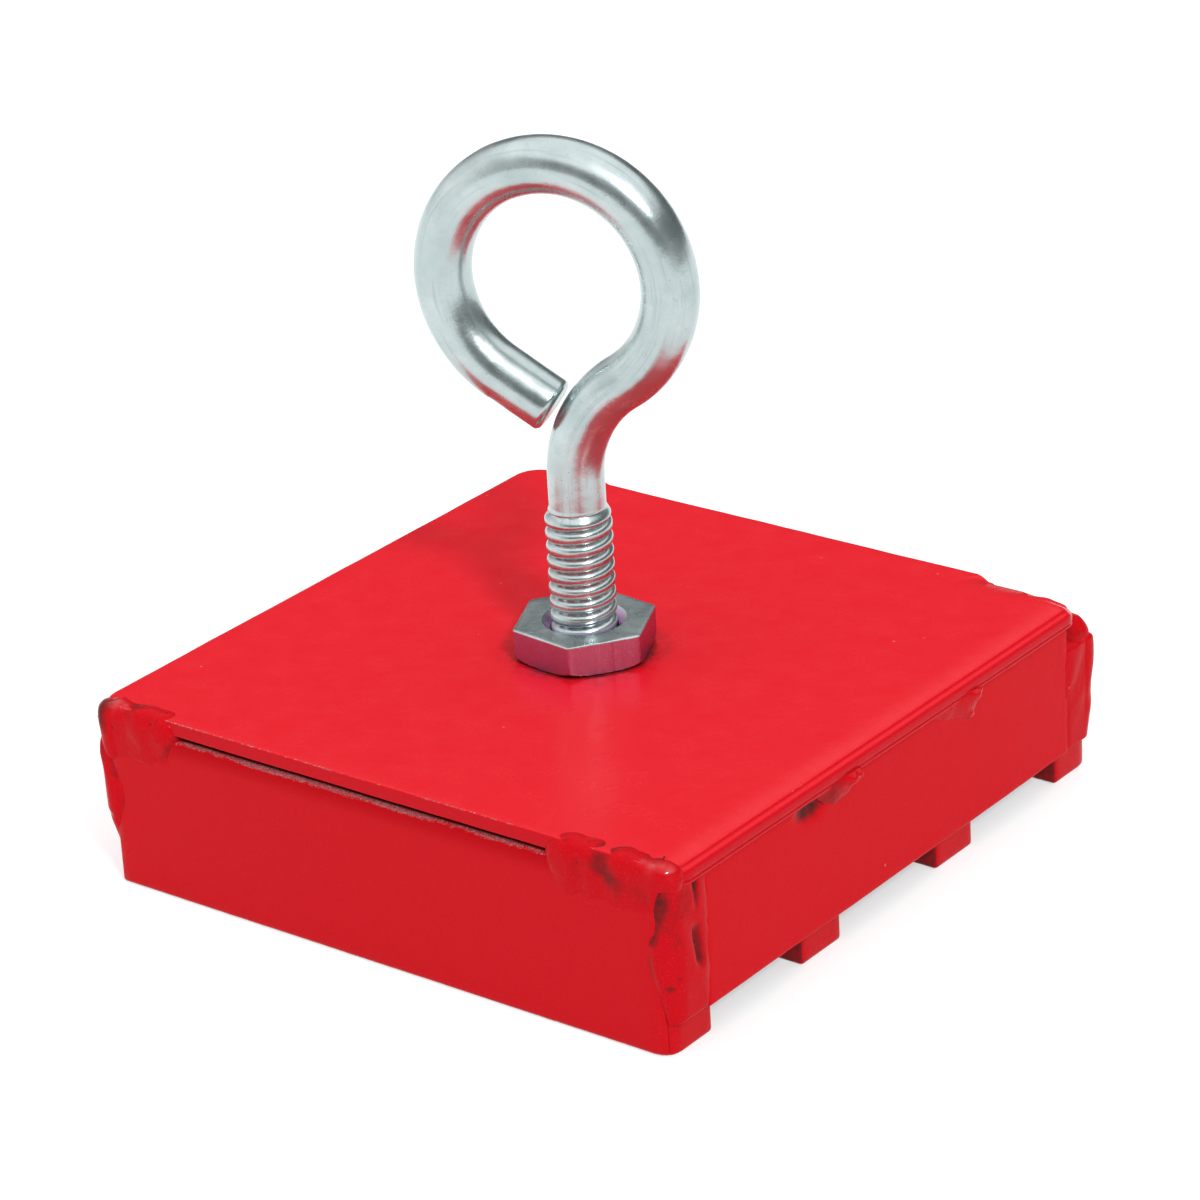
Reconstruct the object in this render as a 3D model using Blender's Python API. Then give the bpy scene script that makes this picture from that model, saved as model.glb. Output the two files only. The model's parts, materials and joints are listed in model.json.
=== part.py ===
"""Lifting magnet: a 2 inch square block of four steel pole plates and six ferrite blocks under a sheet cover,
held together by weld beads, with an eyebolt screwed through the cover and locked by a jam nut.

Frame: metres, +Z up, origin at the centre of the working face, which is the flat underside of the four pole
plates. +X runs along the front plate, and +Y goes from the front plate to the back one.
"""

import math

import bmesh
import bpy
from mathutils import Vector

INCH = 0.0254
GAP = 0.0002  # between pieces that touch
CUT_OVERRUN = 0.001  # how far a cutter runs past the face that it cuts

# Block
BLOCK_WIDTH = 2.0 * INCH
COVER_DEPTH = 0.0501
COVER_Y = -0.00095  # middle of the cover: the back pole plate stands out behind it
COVER_TOP = 0.01415
COVER_THICKNESS = 0.0011
LIP_HEIGHT = 0.00169  # of the cover's bent-down sides
LIP_THICKNESS = 0.00065
COVER_CORNER_RADIUS = 0.0020
COVER_EDGE_RADIUS = 0.0004

# Pole plates, 3/16 inch steel, listed from front to back by the middle of their thickness
POLE_THICKNESS = 3.0 / 16.0 * INCH
POLE_HALF_LENGTH = 0.02455
POLE_HEIGHT = 0.01275
POLE_Y = (-0.02377, -0.00863, 0.00798, 0.02378)
POLE_EDGE_RADIUS = 0.0003
POLE_CORNER_RADIUS = 0.0010  # of the outer plates' upright outer edges
POLE_OUTER_FACE = {-1: -POLE_Y[0] + POLE_THICKNESS / 2, 1: POLE_Y[3] + POLE_THICKNESS / 2}

# Side plates
SIDE_OUTER_FACE = 0.02515
SIDE_THICKNESS = 0.0004
SIDE_BOTTOM = 0.00242
SIDE_HALF_LENGTH = 0.0224

# Ferrite blocks
FERRITE_BOTTOM = 0.0029
FERRITE_TOP = 0.0119
FERRITE_END = 0.0243
FERRITE_CHAMFER = 0.0004
CENTRE_BAY_HALF_LENGTH = 0.0082  # space left round the bolt in the middle row

# Eyebolt: number 10-24 thread on 4.1 mm wire, with a half-inch eye
BOLT_X = -0.0005
BOLT_Y = -0.00125
THREAD_RADIUS = 0.004826 / 2
WIRE_RADIUS = 0.00205
BOLT_END = 0.0050
BOLT_END_CHAMFER = 0.0006
THREAD_TOP = 0.0254
THREAD_RUNOUT = 0.0008
EYE_RADIUS = 0.00845  # centre line of the wire
EYE_HEIGHT = 0.04212  # centre of the eye above the working face
EYE_OFFSET = -0.00066  # of the eye's centre from the shank's axis
EYE_TURN = math.radians(16.0)
NECK_RADIUS = 0.0088
EYE_ARC_END = math.radians(238.0)
EYE_TAIL = 0.0044  # straight end of the wire

# Nuts
NUT_WIDTH = 0.00930
NUT_THICKNESS = 0.00235
NUT_SEAT_GAP = 0.0001
NUT_TURN = math.radians(54.4)
NUT_UNDERSIDE_DROP = 0.0006
NUT_BORE_RADIUS = THREAD_RADIUS + 0.0001
NUT_COUNTERSINK_RADIUS = 0.0030
CAPTIVE_NUT_WIDTH = 0.00930
CAPTIVE_NUT_THICKNESS = 0.0030
BOLT_HOLE_RADIUS = 0.0028

# Weld beads. Corner beads run along the front or back edge: (side in X, side in Y, length)
CORNER_WELDS = {
    "front_left": (-1, -1, 0.0080),
    "front_right": (1, -1, 0.0112),
    "back_right": (1, 1, 0.0090),
    "back_left": (-1, 1, 0.0090),
}
CORNER_WELD_BITE = 0.00075  # how far the front and back beads reach into the cover
CORNER_WELD_OUTER_FACE = 0.02665
CORNER_WELD_BOTTOM = 0.0114
CORNER_WELD_TOP = 0.0141
UPRIGHT_WELD_GAP = 0.0001
UPRIGHT_WELD_BOTTOM = 0.0040
UPRIGHT_WELD_REACH = 0.00185  # along the front or back face, from the end of the pole plate
UPRIGHT_WELD_END_THICKNESS = 0.00012
UPRIGHT_WELD_THICKNESS = (0.00014, 0.00022, 0.0003, 0.00036, 0.00039, 0.0004, 0.00032)  # going up
SIDE_TACK_Y = (-0.00795, 0.00855)
SIDE_TACK_HALF_WIDTH = 0.0020
SIDE_TACK_HEIGHT = 0.0016
SIDE_TACK_HALF_DEPTH = 0.0005
BEAD_SQUARENESS = 0.7  # exponent of the bead's outline: 1 is an ellipsoid, less is squarer

ROUND_SIDES = 24
WIRE_SIDES = 16
BEAD_SIDES = 12
BEAD_RINGS = 8

RED = (0.72, 0.015, 0.02)
DARK_RED = (0.55, 0.01, 0.015)
ZINC = (0.74, 0.78, 0.76)
CHARCOAL = (0.045, 0.045, 0.05)


def clear_scene():
    for old in list(bpy.data.objects):
        bpy.data.objects.remove(old)


def new_material(name, colour, metallic, roughness):
    material = bpy.data.materials.new(name)
    material.use_nodes = True
    shader = material.node_tree.nodes["Principled BSDF"]
    shader.inputs["Base Color"].default_value = (*colour, 1.0)
    shader.inputs["Metallic"].default_value = metallic
    shader.inputs["Roughness"].default_value = roughness
    return material


def add_object(name, mesh_builder, finish, location=(0.0, 0.0, 0.0), turn=0.0, parent=None):
    """One sub-part: the mesh that is in mesh_builder, with a material of its own from finish."""
    mesh = bpy.data.meshes.new(name)
    bmesh.ops.recalc_face_normals(mesh_builder, faces=mesh_builder.faces)
    mesh_builder.to_mesh(mesh)
    mesh_builder.free()
    piece = bpy.data.objects.new(name, mesh)
    piece.location = location
    piece.rotation_euler = (0.0, 0.0, turn)
    piece.parent = parent
    bpy.context.scene.collection.objects.link(piece)
    if finish is not None:
        mesh.materials.append(new_material(name, *finish))
    return piece


def add_empty(name, location):
    empty = bpy.data.objects.new(name, None)
    empty.location = location
    bpy.context.scene.collection.objects.link(empty)
    return empty


def shade_round(piece, sharp_angle=math.radians(35.0)):
    piece.data.shade_smooth()
    piece.data.set_sharp_from_angle(angle=sharp_angle)


def box_between(low, high):
    """A bmesh box from its lowest corner to its highest."""
    builder = bmesh.new()
    bmesh.ops.create_cube(builder, size=1.0)
    for vertex in builder.verts:
        vertex.co = Vector(
            (low[i] + (vertex.co[i] + 0.5) * (high[i] - low[i]) for i in range(3))
        )
    return builder


def turned_profile(profile, sides=ROUND_SIDES, start=0.0):
    """A closed solid turned about Z. profile is a list of (radius, height) from the bottom to the top."""
    builder = bmesh.new()
    rings = []
    for radius, height in profile:
        ring = []
        for step in range(sides):
            angle = start + 2 * math.pi * step / sides
            ring.append(builder.verts.new((radius * math.cos(angle), radius * math.sin(angle), height)))
        rings.append(ring)
    join_rings(builder, rings)
    return builder


def join_rings(builder, rings):
    """Skins the rings in order and caps the first and the last."""
    count = len(rings[0])
    for lower, upper in zip(rings, rings[1:]):
        for step in range(count):
            after = (step + 1) % count
            builder.faces.new((lower[step], lower[after], upper[after], upper[step]))
    builder.faces.new(rings[0])
    builder.faces.new(rings[-1])


def use_cutter(target, cutter, operation="DIFFERENCE"):
    cutter.hide_render = True
    cutter.display_type = "WIRE"
    modifier = target.modifiers.new(cutter.name, "BOOLEAN")
    modifier.operation = operation
    modifier.solver = "EXACT"
    modifier.object = cutter


def round_edges(piece, width, segments):
    modifier = piece.modifiers.new("edges", "BEVEL")
    modifier.width = width
    modifier.segments = segments
    modifier.limit_method = "ANGLE"


def vertical_edges(builder):
    return [e for e in builder.edges if abs(e.verts[0].co.z - e.verts[1].co.z) > 1e-6]


def bolt_hole_cutter(name, bottom, top):
    profile = [(BOLT_HOLE_RADIUS, bottom - CUT_OVERRUN), (BOLT_HOLE_RADIUS, top + CUT_OVERRUN)]
    return add_object(name, turned_profile(profile), None, (BOLT_X, BOLT_Y, 0.0))


def build_cover():
    """The top sheet, with its left and right sides bent down, a bolt hole and a notch for each corner weld."""
    half_width = BLOCK_WIDTH / 2
    front, back = COVER_Y - COVER_DEPTH / 2, COVER_Y + COVER_DEPTH / 2
    lip_bottom = COVER_TOP - LIP_HEIGHT
    bottom = COVER_TOP - COVER_THICKNESS
    builder = box_between((-half_width, front, lip_bottom), (half_width, back, COVER_TOP))
    bmesh.ops.bevel(
        builder,
        geom=vertical_edges(builder),
        offset=COVER_CORNER_RADIUS,
        segments=4,
        affect="EDGES",
        profile=0.5,
    )
    upper_rim = [e for e in builder.edges if all(v.co.z > COVER_TOP - 1e-6 for v in e.verts)]
    bmesh.ops.bevel(
        builder, geom=upper_rim, offset=COVER_EDGE_RADIUS, segments=2, affect="EDGES", profile=0.5
    )
    cover = add_object("top_cover", builder, (RED, 0.0, 0.3))
    inside = half_width - LIP_THICKNESS
    hollow = box_between(
        (-inside, front - CUT_OVERRUN, lip_bottom - CUT_OVERRUN), (inside, back + CUT_OVERRUN, bottom)
    )
    use_cutter(cover, add_object("cover_hollow_cutter", hollow, None))
    use_cutter(cover, bolt_hole_cutter("cover_hole_cutter", bottom, COVER_TOP))
    for corner, (side_x, side_y, length) in CORNER_WELDS.items():
        low, high = weld_notch(side_x, side_y, length, lip_bottom - CUT_OVERRUN, COVER_TOP + CUT_OVERRUN)
        use_cutter(cover, add_object("notch_cutter_" + corner, box_between(low, high), None))
    return cover


def corner_weld_inner_face(side_y):
    """How far from the middle, along Y, the front (-1) or back (1) corner beads begin."""
    return COVER_DEPTH / 2 + side_y * COVER_Y - CORNER_WELD_BITE


def weld_notch(side_x, side_y, length, bottom, top):
    """Lowest and highest corner of the space that a corner bead and the gap round it take up."""
    xs = sorted((side_x * (BLOCK_WIDTH / 2 - length - GAP), side_x * (BLOCK_WIDTH / 2 + CUT_OVERRUN)))
    ys = sorted(
        (
            side_y * (corner_weld_inner_face(side_y) - GAP),
            side_y * (CORNER_WELD_OUTER_FACE + CUT_OVERRUN),
        )
    )
    return (xs[0], ys[0], bottom), (xs[1], ys[1], top)


def build_side_plate(name, side):
    """The sheet over the ends of the pole plates, notched at its upper edge where it is tacked."""
    top = COVER_TOP - LIP_HEIGHT - GAP
    faces = sorted((side * (SIDE_OUTER_FACE - SIDE_THICKNESS), side * SIDE_OUTER_FACE))
    plate = add_object(
        name,
        box_between(
            (faces[0], -SIDE_HALF_LENGTH, SIDE_BOTTOM), (faces[1], SIDE_HALF_LENGTH, top)
        ),
        (RED, 0.0, 0.35),
    )
    for number, y in enumerate(SIDE_TACK_Y, 1):
        notch = box_between(
            (
                faces[0] - CUT_OVERRUN,
                y - SIDE_TACK_HALF_WIDTH - GAP,
                top - SIDE_TACK_HEIGHT - GAP,
            ),
            (faces[1] + CUT_OVERRUN, y + SIDE_TACK_HALF_WIDTH + GAP, top + CUT_OVERRUN),
        )
        use_cutter(plate, add_object(f"{name}_notch_cutter_{number}", notch, None))
    return plate


def build_pole_plate(number, y):
    """Plates 1 and 4 have rounder outer corners, and notches in their upper edge for the corner welds."""
    half = POLE_THICKNESS / 2
    builder = box_between((-POLE_HALF_LENGTH, -half, 0.0), (POLE_HALF_LENGTH, half, POLE_HEIGHT))
    outer_side = {1: -1, 4: 1}.get(number)
    if outer_side:
        outer_edges = [e for e in vertical_edges(builder) if e.verts[0].co.y * outer_side > 0]
        bmesh.ops.bevel(
            builder, geom=outer_edges, offset=POLE_CORNER_RADIUS, segments=3, affect="EDGES", profile=0.5
        )
    plate = add_object(f"pole_plate_{number}", builder, (RED, 0.0, 0.35), (0.0, y, 0.0))
    round_edges(plate, POLE_EDGE_RADIUS, 2)
    for corner, (side_x, side_y, length) in CORNER_WELDS.items():
        if side_y == outer_side:
            bottom = CORNER_WELD_BOTTOM - GAP
            low, high = weld_notch(side_x, side_y, length, bottom, POLE_HEIGHT + CUT_OVERRUN)
            use_cutter(plate, add_object("pole_notch_cutter_" + corner, box_between(low, high), None))
    return plate


def build_ferrite_block(name, x_range, y_range):
    block = add_object(
        name,
        box_between(
            (x_range[0], y_range[0], FERRITE_BOTTOM), (x_range[1], y_range[1], FERRITE_TOP)
        ),
        (CHARCOAL, 0.0, 0.7),
    )
    round_edges(block, FERRITE_CHAMFER, 1)
    return block


def build_ferrite_rows():
    """Two blocks in each bay between neighbouring pole plates. The middle row is split round the bolt."""
    for row, (near, far) in enumerate(zip(POLE_Y, POLE_Y[1:]), 1):
        y_range = (near + POLE_THICKNESS / 2 + GAP, far - POLE_THICKNESS / 2 - GAP)
        inner_end = CENTRE_BAY_HALF_LENGTH if row == 2 else GAP / 2
        build_ferrite_block(f"ferrite_row{row}_left", (-FERRITE_END, -inner_end), y_range)
        build_ferrite_block(f"ferrite_row{row}_right", (inner_end, FERRITE_END), y_range)


def eyebolt_stations():
    """(point, direction, radius) along the bolt's centre line, in the plane of the eye, from the lower end."""
    neck_span = EYE_RADIUS + NECK_RADIUS
    neck_height = EYE_HEIGHT - math.sqrt(neck_span**2 - (NECK_RADIUS - EYE_OFFSET) ** 2)
    eye_centre = Vector((EYE_OFFSET, 0.0, EYE_HEIGHT))
    neck_centre = Vector((NECK_RADIUS, 0.0, neck_height))
    up = Vector((0.0, 0.0, 1.0))
    shank = (
        (BOLT_END, THREAD_RADIUS - BOLT_END_CHAMFER),
        (BOLT_END + BOLT_END_CHAMFER, THREAD_RADIUS),
        (THREAD_TOP - THREAD_RUNOUT, THREAD_RADIUS),
        (THREAD_TOP, WIRE_RADIUS),
    )
    stations = [(Vector((0.0, 0.0, height)), up, radius) for height, radius in shank]

    to_eye = eye_centre - neck_centre
    neck_end = math.atan2(to_eye.z, to_eye.x)
    neck_steps = 9
    for step in range(neck_steps):
        angle = math.pi + (neck_end - math.pi) * step / neck_steps
        radial = Vector((math.cos(angle), 0.0, math.sin(angle)))
        direction = Vector((math.sin(angle), 0.0, -math.cos(angle)))
        stations.append((neck_centre + NECK_RADIUS * radial, direction, WIRE_RADIUS))

    eye_start = neck_end - math.pi
    eye_steps = 36
    for step in range(eye_steps + 1):
        angle = eye_start + (EYE_ARC_END - eye_start) * step / eye_steps
        radial = Vector((math.cos(angle), 0.0, math.sin(angle)))
        direction = Vector((-math.sin(angle), 0.0, math.cos(angle)))
        stations.append((eye_centre + EYE_RADIUS * radial, direction, WIRE_RADIUS))

    last_point, last_direction, _ = stations[-1]
    stations.append((last_point + EYE_TAIL * last_direction, last_direction, WIRE_RADIUS))
    return stations


def build_eyebolt(axis):
    """The whole bolt is one rod swept along its centre line. Its origin is on the axis it turns about."""
    builder = bmesh.new()
    across = Vector((0.0, 1.0, 0.0))
    rings = []
    for point, direction, radius in eyebolt_stations():
        sideways = across.cross(direction)
        ring = []
        for step in range(WIRE_SIDES):
            angle = 2 * math.pi * step / WIRE_SIDES
            offset = radius * (math.cos(angle) * sideways + math.sin(angle) * across)
            ring.append(builder.verts.new(point + offset))
        rings.append(ring)
    join_rings(builder, rings)
    eyebolt = add_object("eyebolt", builder, (ZINC, 1.0, 0.25), turn=EYE_TURN, parent=axis)
    shade_round(eyebolt)
    return eyebolt


def build_jam_nut(axis):
    """A thin hexagon nut: flat on top, rounded corners underneath and a countersunk hole."""
    bottom = COVER_TOP + NUT_SEAT_GAP
    corner_radius = NUT_WIDTH / 2 / math.cos(math.pi / 6)
    prism = turned_profile([(corner_radius, 0.0), (corner_radius, NUT_THICKNESS)], sides=6)
    nut = add_object("jam_nut", prism, (ZINC, 1.0, 0.3), (0.0, 0.0, bottom), NUT_TURN, axis)
    flank = [
        (NUT_WIDTH / 2 - 0.0002, -NUT_SEAT_GAP / 2),
        (NUT_WIDTH / 2 + 0.0003, NUT_UNDERSIDE_DROP / 2),
        (corner_radius + 0.00002, NUT_UNDERSIDE_DROP),
        (corner_radius + 0.00002, NUT_THICKNESS + CUT_OVERRUN),
    ]
    envelope = add_object("jam_nut_envelope", turned_profile(flank, 48), None, (0.0, 0.0, bottom), 0.0, axis)
    use_cutter(nut, envelope, "INTERSECT")
    sink = NUT_COUNTERSINK_RADIUS - NUT_BORE_RADIUS
    bore = [
        (NUT_BORE_RADIUS, -CUT_OVERRUN),
        (NUT_BORE_RADIUS, NUT_THICKNESS - sink),
        (NUT_COUNTERSINK_RADIUS + CUT_OVERRUN, NUT_THICKNESS + CUT_OVERRUN),
    ]
    use_cutter(nut, add_object("jam_nut_bore", turned_profile(bore), None, (0.0, 0.0, bottom), 0.0, axis))
    return nut


def build_captive_nut():
    """A square nut under the cover. The two inner pole plates keep it from turning."""
    top = COVER_TOP - COVER_THICKNESS - GAP
    bottom = top - CAPTIVE_NUT_THICKNESS
    half = CAPTIVE_NUT_WIDTH / 2
    nut = add_object(
        "captive_nut",
        box_between((-half, -half, bottom), (half, half, top)),
        (ZINC, 1.0, 0.4),
        (BOLT_X, BOLT_Y, 0.0),
    )
    bore = [(NUT_BORE_RADIUS, bottom - CUT_OVERRUN), (NUT_BORE_RADIUS, top + CUT_OVERRUN)]
    cutter = add_object("captive_nut_bore", turned_profile(bore), None, (BOLT_X, BOLT_Y, 0.0))
    use_cutter(nut, cutter)
    return nut


def bead(name, centre, half_sizes):
    """A weld bead: a rounded lump, longest along one axis and squarer than an ellipsoid."""

    def squared(value):
        return math.copysign(abs(value) ** BEAD_SQUARENESS, value)

    builder = bmesh.new()
    long_axis = max(range(3), key=lambda i: half_sizes[i])
    first, second = [i for i in range(3) if i != long_axis]
    rings = []
    for step in range(1, BEAD_RINGS):
        latitude = math.pi * step / BEAD_RINGS
        ring = []
        for turn in range(BEAD_SIDES):
            angle = 2 * math.pi * turn / BEAD_SIDES
            point = [0.0, 0.0, 0.0]
            point[long_axis] = -half_sizes[long_axis] * math.cos(latitude)
            point[first] = half_sizes[first] * squared(math.sin(latitude)) * math.cos(angle)
            point[second] = half_sizes[second] * squared(math.sin(latitude)) * math.sin(angle)
            ring.append(builder.verts.new(point))
        rings.append(ring)
    join_rings(builder, rings)
    piece = add_object(name, builder, (RED, 0.0, 0.25), centre)
    shade_round(piece)
    return piece


def build_corner_welds():
    """Beads in the corner notches, which join the cover to the front and back pole plates."""
    for corner, (side_x, side_y, length) in CORNER_WELDS.items():
        inner_face = corner_weld_inner_face(side_y)
        centre = (
            side_x * (BLOCK_WIDTH / 2 - length / 2),
            side_y * (CORNER_WELD_OUTER_FACE + inner_face) / 2,
            (CORNER_WELD_BOTTOM + CORNER_WELD_TOP) / 2,
        )
        half_sizes = (
            length / 2,
            (CORNER_WELD_OUTER_FACE - inner_face) / 2,
            (CORNER_WELD_TOP - CORNER_WELD_BOTTOM) / 2,
        )
        bead("corner_weld_" + corner, centre, half_sizes)


def upright_weld_spine(outer_face):
    """(x, y, outward x, outward y) round the outside of a pole plate's corner, a gap away from it."""
    centre = (POLE_HALF_LENGTH - POLE_CORNER_RADIUS, outer_face - POLE_CORNER_RADIUS)
    radius = POLE_CORNER_RADIUS + UPRIGHT_WELD_GAP
    end_x = POLE_HALF_LENGTH + UPRIGHT_WELD_GAP
    end_y = SIDE_HALF_LENGTH + GAP
    spine = [(end_x, end_y + (centre[1] - end_y) * share, 1.0, 0.0) for share in (0, 0.5)]
    for step in range(5):
        angle = math.pi / 2 * step / 4
        out_x, out_y = math.cos(angle), math.sin(angle)
        spine.append((centre[0] + radius * out_x, centre[1] + radius * out_y, out_x, out_y))
    spine.append((POLE_HALF_LENGTH - UPRIGHT_WELD_REACH, outer_face + UPRIGHT_WELD_GAP, 0.0, 1.0))
    return spine


def build_upright_welds():
    """Beads wrapped round the four corners, which join the side plates to the front and back pole plates."""
    top = CORNER_WELD_BOTTOM - GAP
    levels = len(UPRIGHT_WELD_THICKNESS)
    for corner, (side_x, side_y, _) in CORNER_WELDS.items():
        spine = upright_weld_spine(POLE_OUTER_FACE[side_y])
        builder = bmesh.new()
        rings = []
        for level, thickness in enumerate(UPRIGHT_WELD_THICKNESS):
            z = UPRIGHT_WELD_BOTTOM + (top - UPRIGHT_WELD_BOTTOM) * level / (levels - 1)
            inside = [(x, y) for x, y, _, _ in spine]
            outside = []
            for number, (x, y, out_x, out_y) in enumerate(spine):
                at_end = number in (0, len(spine) - 1)
                out = UPRIGHT_WELD_END_THICKNESS if at_end else thickness
                outside.append((x + out * out_x, y + out * out_y))
            loop = inside + outside[::-1]
            rings.append([builder.verts.new((side_x * x, side_y * y, z)) for x, y in loop])
        join_rings(builder, rings)
        shade_round(add_object("upright_weld_" + corner, builder, (RED, 0.0, 0.25)))


def build_side_tacks():
    """Tack welds in the side plates' notches, under the cover's lip."""
    top = COVER_TOP - LIP_HEIGHT - GAP
    for side, side_name in ((-1, "left"), (1, "right")):
        for number, y in enumerate(SIDE_TACK_Y, 1):
            centre = (side * SIDE_OUTER_FACE, y, top - SIDE_TACK_HEIGHT / 2)
            half_sizes = (SIDE_TACK_HALF_DEPTH, SIDE_TACK_HALF_WIDTH, SIDE_TACK_HEIGHT / 2)
            bead(f"side_tack_{side_name}_{number}", centre, half_sizes)


def build_lifting_magnet():
    build_cover()
    build_side_plate("side_plate_left", -1)
    build_side_plate("side_plate_right", 1)
    for number, y in enumerate(POLE_Y, 1):
        build_pole_plate(number, y)
    build_ferrite_rows()
    build_corner_welds()
    build_upright_welds()
    build_side_tacks()
    build_captive_nut()
    bolt_axis = add_empty("bolt_axis", (BOLT_X, BOLT_Y, 0.0))
    build_eyebolt(bolt_axis)
    build_jam_nut(bolt_axis)


clear_scene()
build_lifting_magnet()
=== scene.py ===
"""Looks of the lifting magnet: painted steel, lumpy weld beads, and a zinc eyebolt with its jam nut."""
import json
import math
import random

import bmesh
import bpy
import numpy as np
from mathutils import Matrix, Vector, noise


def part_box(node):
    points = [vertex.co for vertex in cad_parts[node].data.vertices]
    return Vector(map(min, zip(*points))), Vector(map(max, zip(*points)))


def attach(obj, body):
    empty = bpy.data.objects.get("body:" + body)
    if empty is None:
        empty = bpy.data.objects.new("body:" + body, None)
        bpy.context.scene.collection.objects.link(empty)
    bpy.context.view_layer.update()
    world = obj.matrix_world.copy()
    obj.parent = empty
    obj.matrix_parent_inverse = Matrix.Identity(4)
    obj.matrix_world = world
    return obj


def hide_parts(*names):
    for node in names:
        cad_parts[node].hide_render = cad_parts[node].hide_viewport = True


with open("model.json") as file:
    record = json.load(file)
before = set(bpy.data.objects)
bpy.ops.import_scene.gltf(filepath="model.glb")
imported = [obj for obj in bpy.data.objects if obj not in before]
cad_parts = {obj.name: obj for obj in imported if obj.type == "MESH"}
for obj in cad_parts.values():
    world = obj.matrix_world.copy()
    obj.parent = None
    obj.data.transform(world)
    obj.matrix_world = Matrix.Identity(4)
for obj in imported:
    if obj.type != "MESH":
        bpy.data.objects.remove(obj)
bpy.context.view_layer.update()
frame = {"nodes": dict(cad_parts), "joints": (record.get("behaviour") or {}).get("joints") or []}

MM = 0.001
BLOCK = "magnet_block"  # the body that all but the eyebolt and its jam nut belong to

# What the frame says. FRONT_FACE, BACK_FACE and SIDE_FACE are how far out the block's plates reach
COVER_LOW, COVER_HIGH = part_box("top_cover")
NUT_LOW, NUT_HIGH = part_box("jam_nut")
CAPTIVE_LOW, CAPTIVE_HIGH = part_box("captive_nut")
EYE_LOW, EYE_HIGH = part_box("eyebolt")
COVER_TOP = COVER_HIGH.z
LIP_BOTTOM = COVER_LOW.z
SHEET_THICKNESS = 1.1 * MM
SHEET_UNDERSIDE = COVER_TOP - SHEET_THICKNESS
POLE_BOXES = [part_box(f"pole_plate_{number}") for number in (1, 2, 3, 4)]
FRONT_FACE = -POLE_BOXES[0][0].y
BACK_FACE = POLE_BOXES[3][1].y
SIDE_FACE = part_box("side_plate_right")[1].x
TURN_JOINT = next(j for j in frame["joints"] if j["name"] == "eyebolt_turn")
BOLT_X, BOLT_Y = TURN_JOINT["pos_m"][:2]

# Eyebolt, as the frame's rod but with its real thread
EYE_TURN = math.radians(16.0)
WIRE_RADIUS = 2.05 * MM
THREAD_RADIUS = 2.413 * MM
THREAD_ROOT = 1.93 * MM
THREAD_PITCH = 1.058 * MM
THREAD_TOP = 25.5 * MM
EYE_RADIUS = 8.45 * MM
EYE_HEIGHT = EYE_HIGH.z - EYE_RADIUS - WIRE_RADIUS
EYE_OFFSET = -0.66 * MM
NECK_RADIUS = 8.8 * MM
EYE_ARC_END = math.radians(238.0)
EYE_TAIL = 4.4 * MM

# Nuts
NUT_TURN = math.radians(54.4)
NUT_APOTHEM = 4.65 * MM
NUT_BORE = 2.46 * MM
NUT_COUNTERSINK = 3.05 * MM
COVER_HOLE = 2.8 * MM


# ---------------------------------------------------------------- small tools


def smoothstep(low, high, value):
    share = np.clip((value - low) / (high - low), 0.0, 1.0)
    return share * share * (3.0 - 2.0 * share)


def hump(value, centre, width):
    """A bell curve, 1 at the centre."""
    return np.exp(-(((value - centre) / width) ** 2))


def wobble(point, per_metre, seed=0.0):
    """Smooth noise from -1 to 1 at a point, with per_metre bumps to the metre."""
    return noise.noise(Vector(point) * per_metre + Vector((seed, 1.7 * seed, -2.3 * seed)))


def wobbles(points, per_metre, seed=0.0):
    return np.array([wobble(p, per_metre, seed) for p in points])


def mesh_object(name, points, faces):
    mesh = bpy.data.meshes.new(name)
    mesh.from_pydata([tuple(p) for p in points], [], faces)
    mesh.update()
    piece = bpy.data.objects.new(name, mesh)
    bpy.context.scene.collection.objects.link(piece)
    return piece


def vertex_normals(piece):
    normals = np.zeros(len(piece.data.vertices) * 3)
    piece.data.vertex_normals.foreach_get("vector", normals)
    return normals.reshape(-1, 3)


def points_of(piece):
    points = np.zeros(len(piece.data.vertices) * 3)
    piece.data.vertices.foreach_get("co", points)
    return points.reshape(-1, 3)


def set_points(piece, points):
    piece.data.vertices.foreach_set("co", np.asarray(points, np.float32).ravel())
    piece.data.update()


def face_outwards(piece):
    builder = bmesh.new()
    builder.from_mesh(piece.data)
    bmesh.ops.recalc_face_normals(builder, faces=builder.faces)
    builder.to_mesh(piece.data)
    builder.free()


def roughen(piece, layers, weights=1.0):
    """Moves each vertex along its normal. layers is a list of (depth, bumps to the metre, seed)."""
    points = points_of(piece)
    normals = vertex_normals(piece)
    shift = sum(depth * wobbles(points, per_metre, seed) for depth, per_metre, seed in layers)
    set_points(piece, points + normals * (shift * weights)[:, None])


def set_values(piece, name, values):
    """Stores a number at each vertex for the materials to read."""
    attribute = piece.data.attributes.new(name, "FLOAT", "POINT")
    attribute.data.foreach_set("value", np.asarray(values, np.float32))


def finish_piece(piece, material, body, replaced, sharp=math.radians(40.0)):
    piece.data.materials.clear()
    piece.data.materials.append(material)
    piece.data.shade_smooth()
    piece.data.set_sharp_from_angle(angle=sharp)
    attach(piece, body)
    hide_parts(replaced)
    return piece


def ring_faces(ring_count, ring_size, closed_along=False):
    """Quads that skin rings of ring_size points each, listed one ring after another."""
    faces = []
    spans = ring_count if closed_along else ring_count - 1
    for ring in range(spans):
        here = ring * ring_size
        there = (ring + 1) % ring_count * ring_size
        for step in range(ring_size):
            after = (step + 1) % ring_size
            faces.append((here + step, here + after, there + after, there + step))
    return faces


# ---------------------------------------------------------------- node helpers


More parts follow.
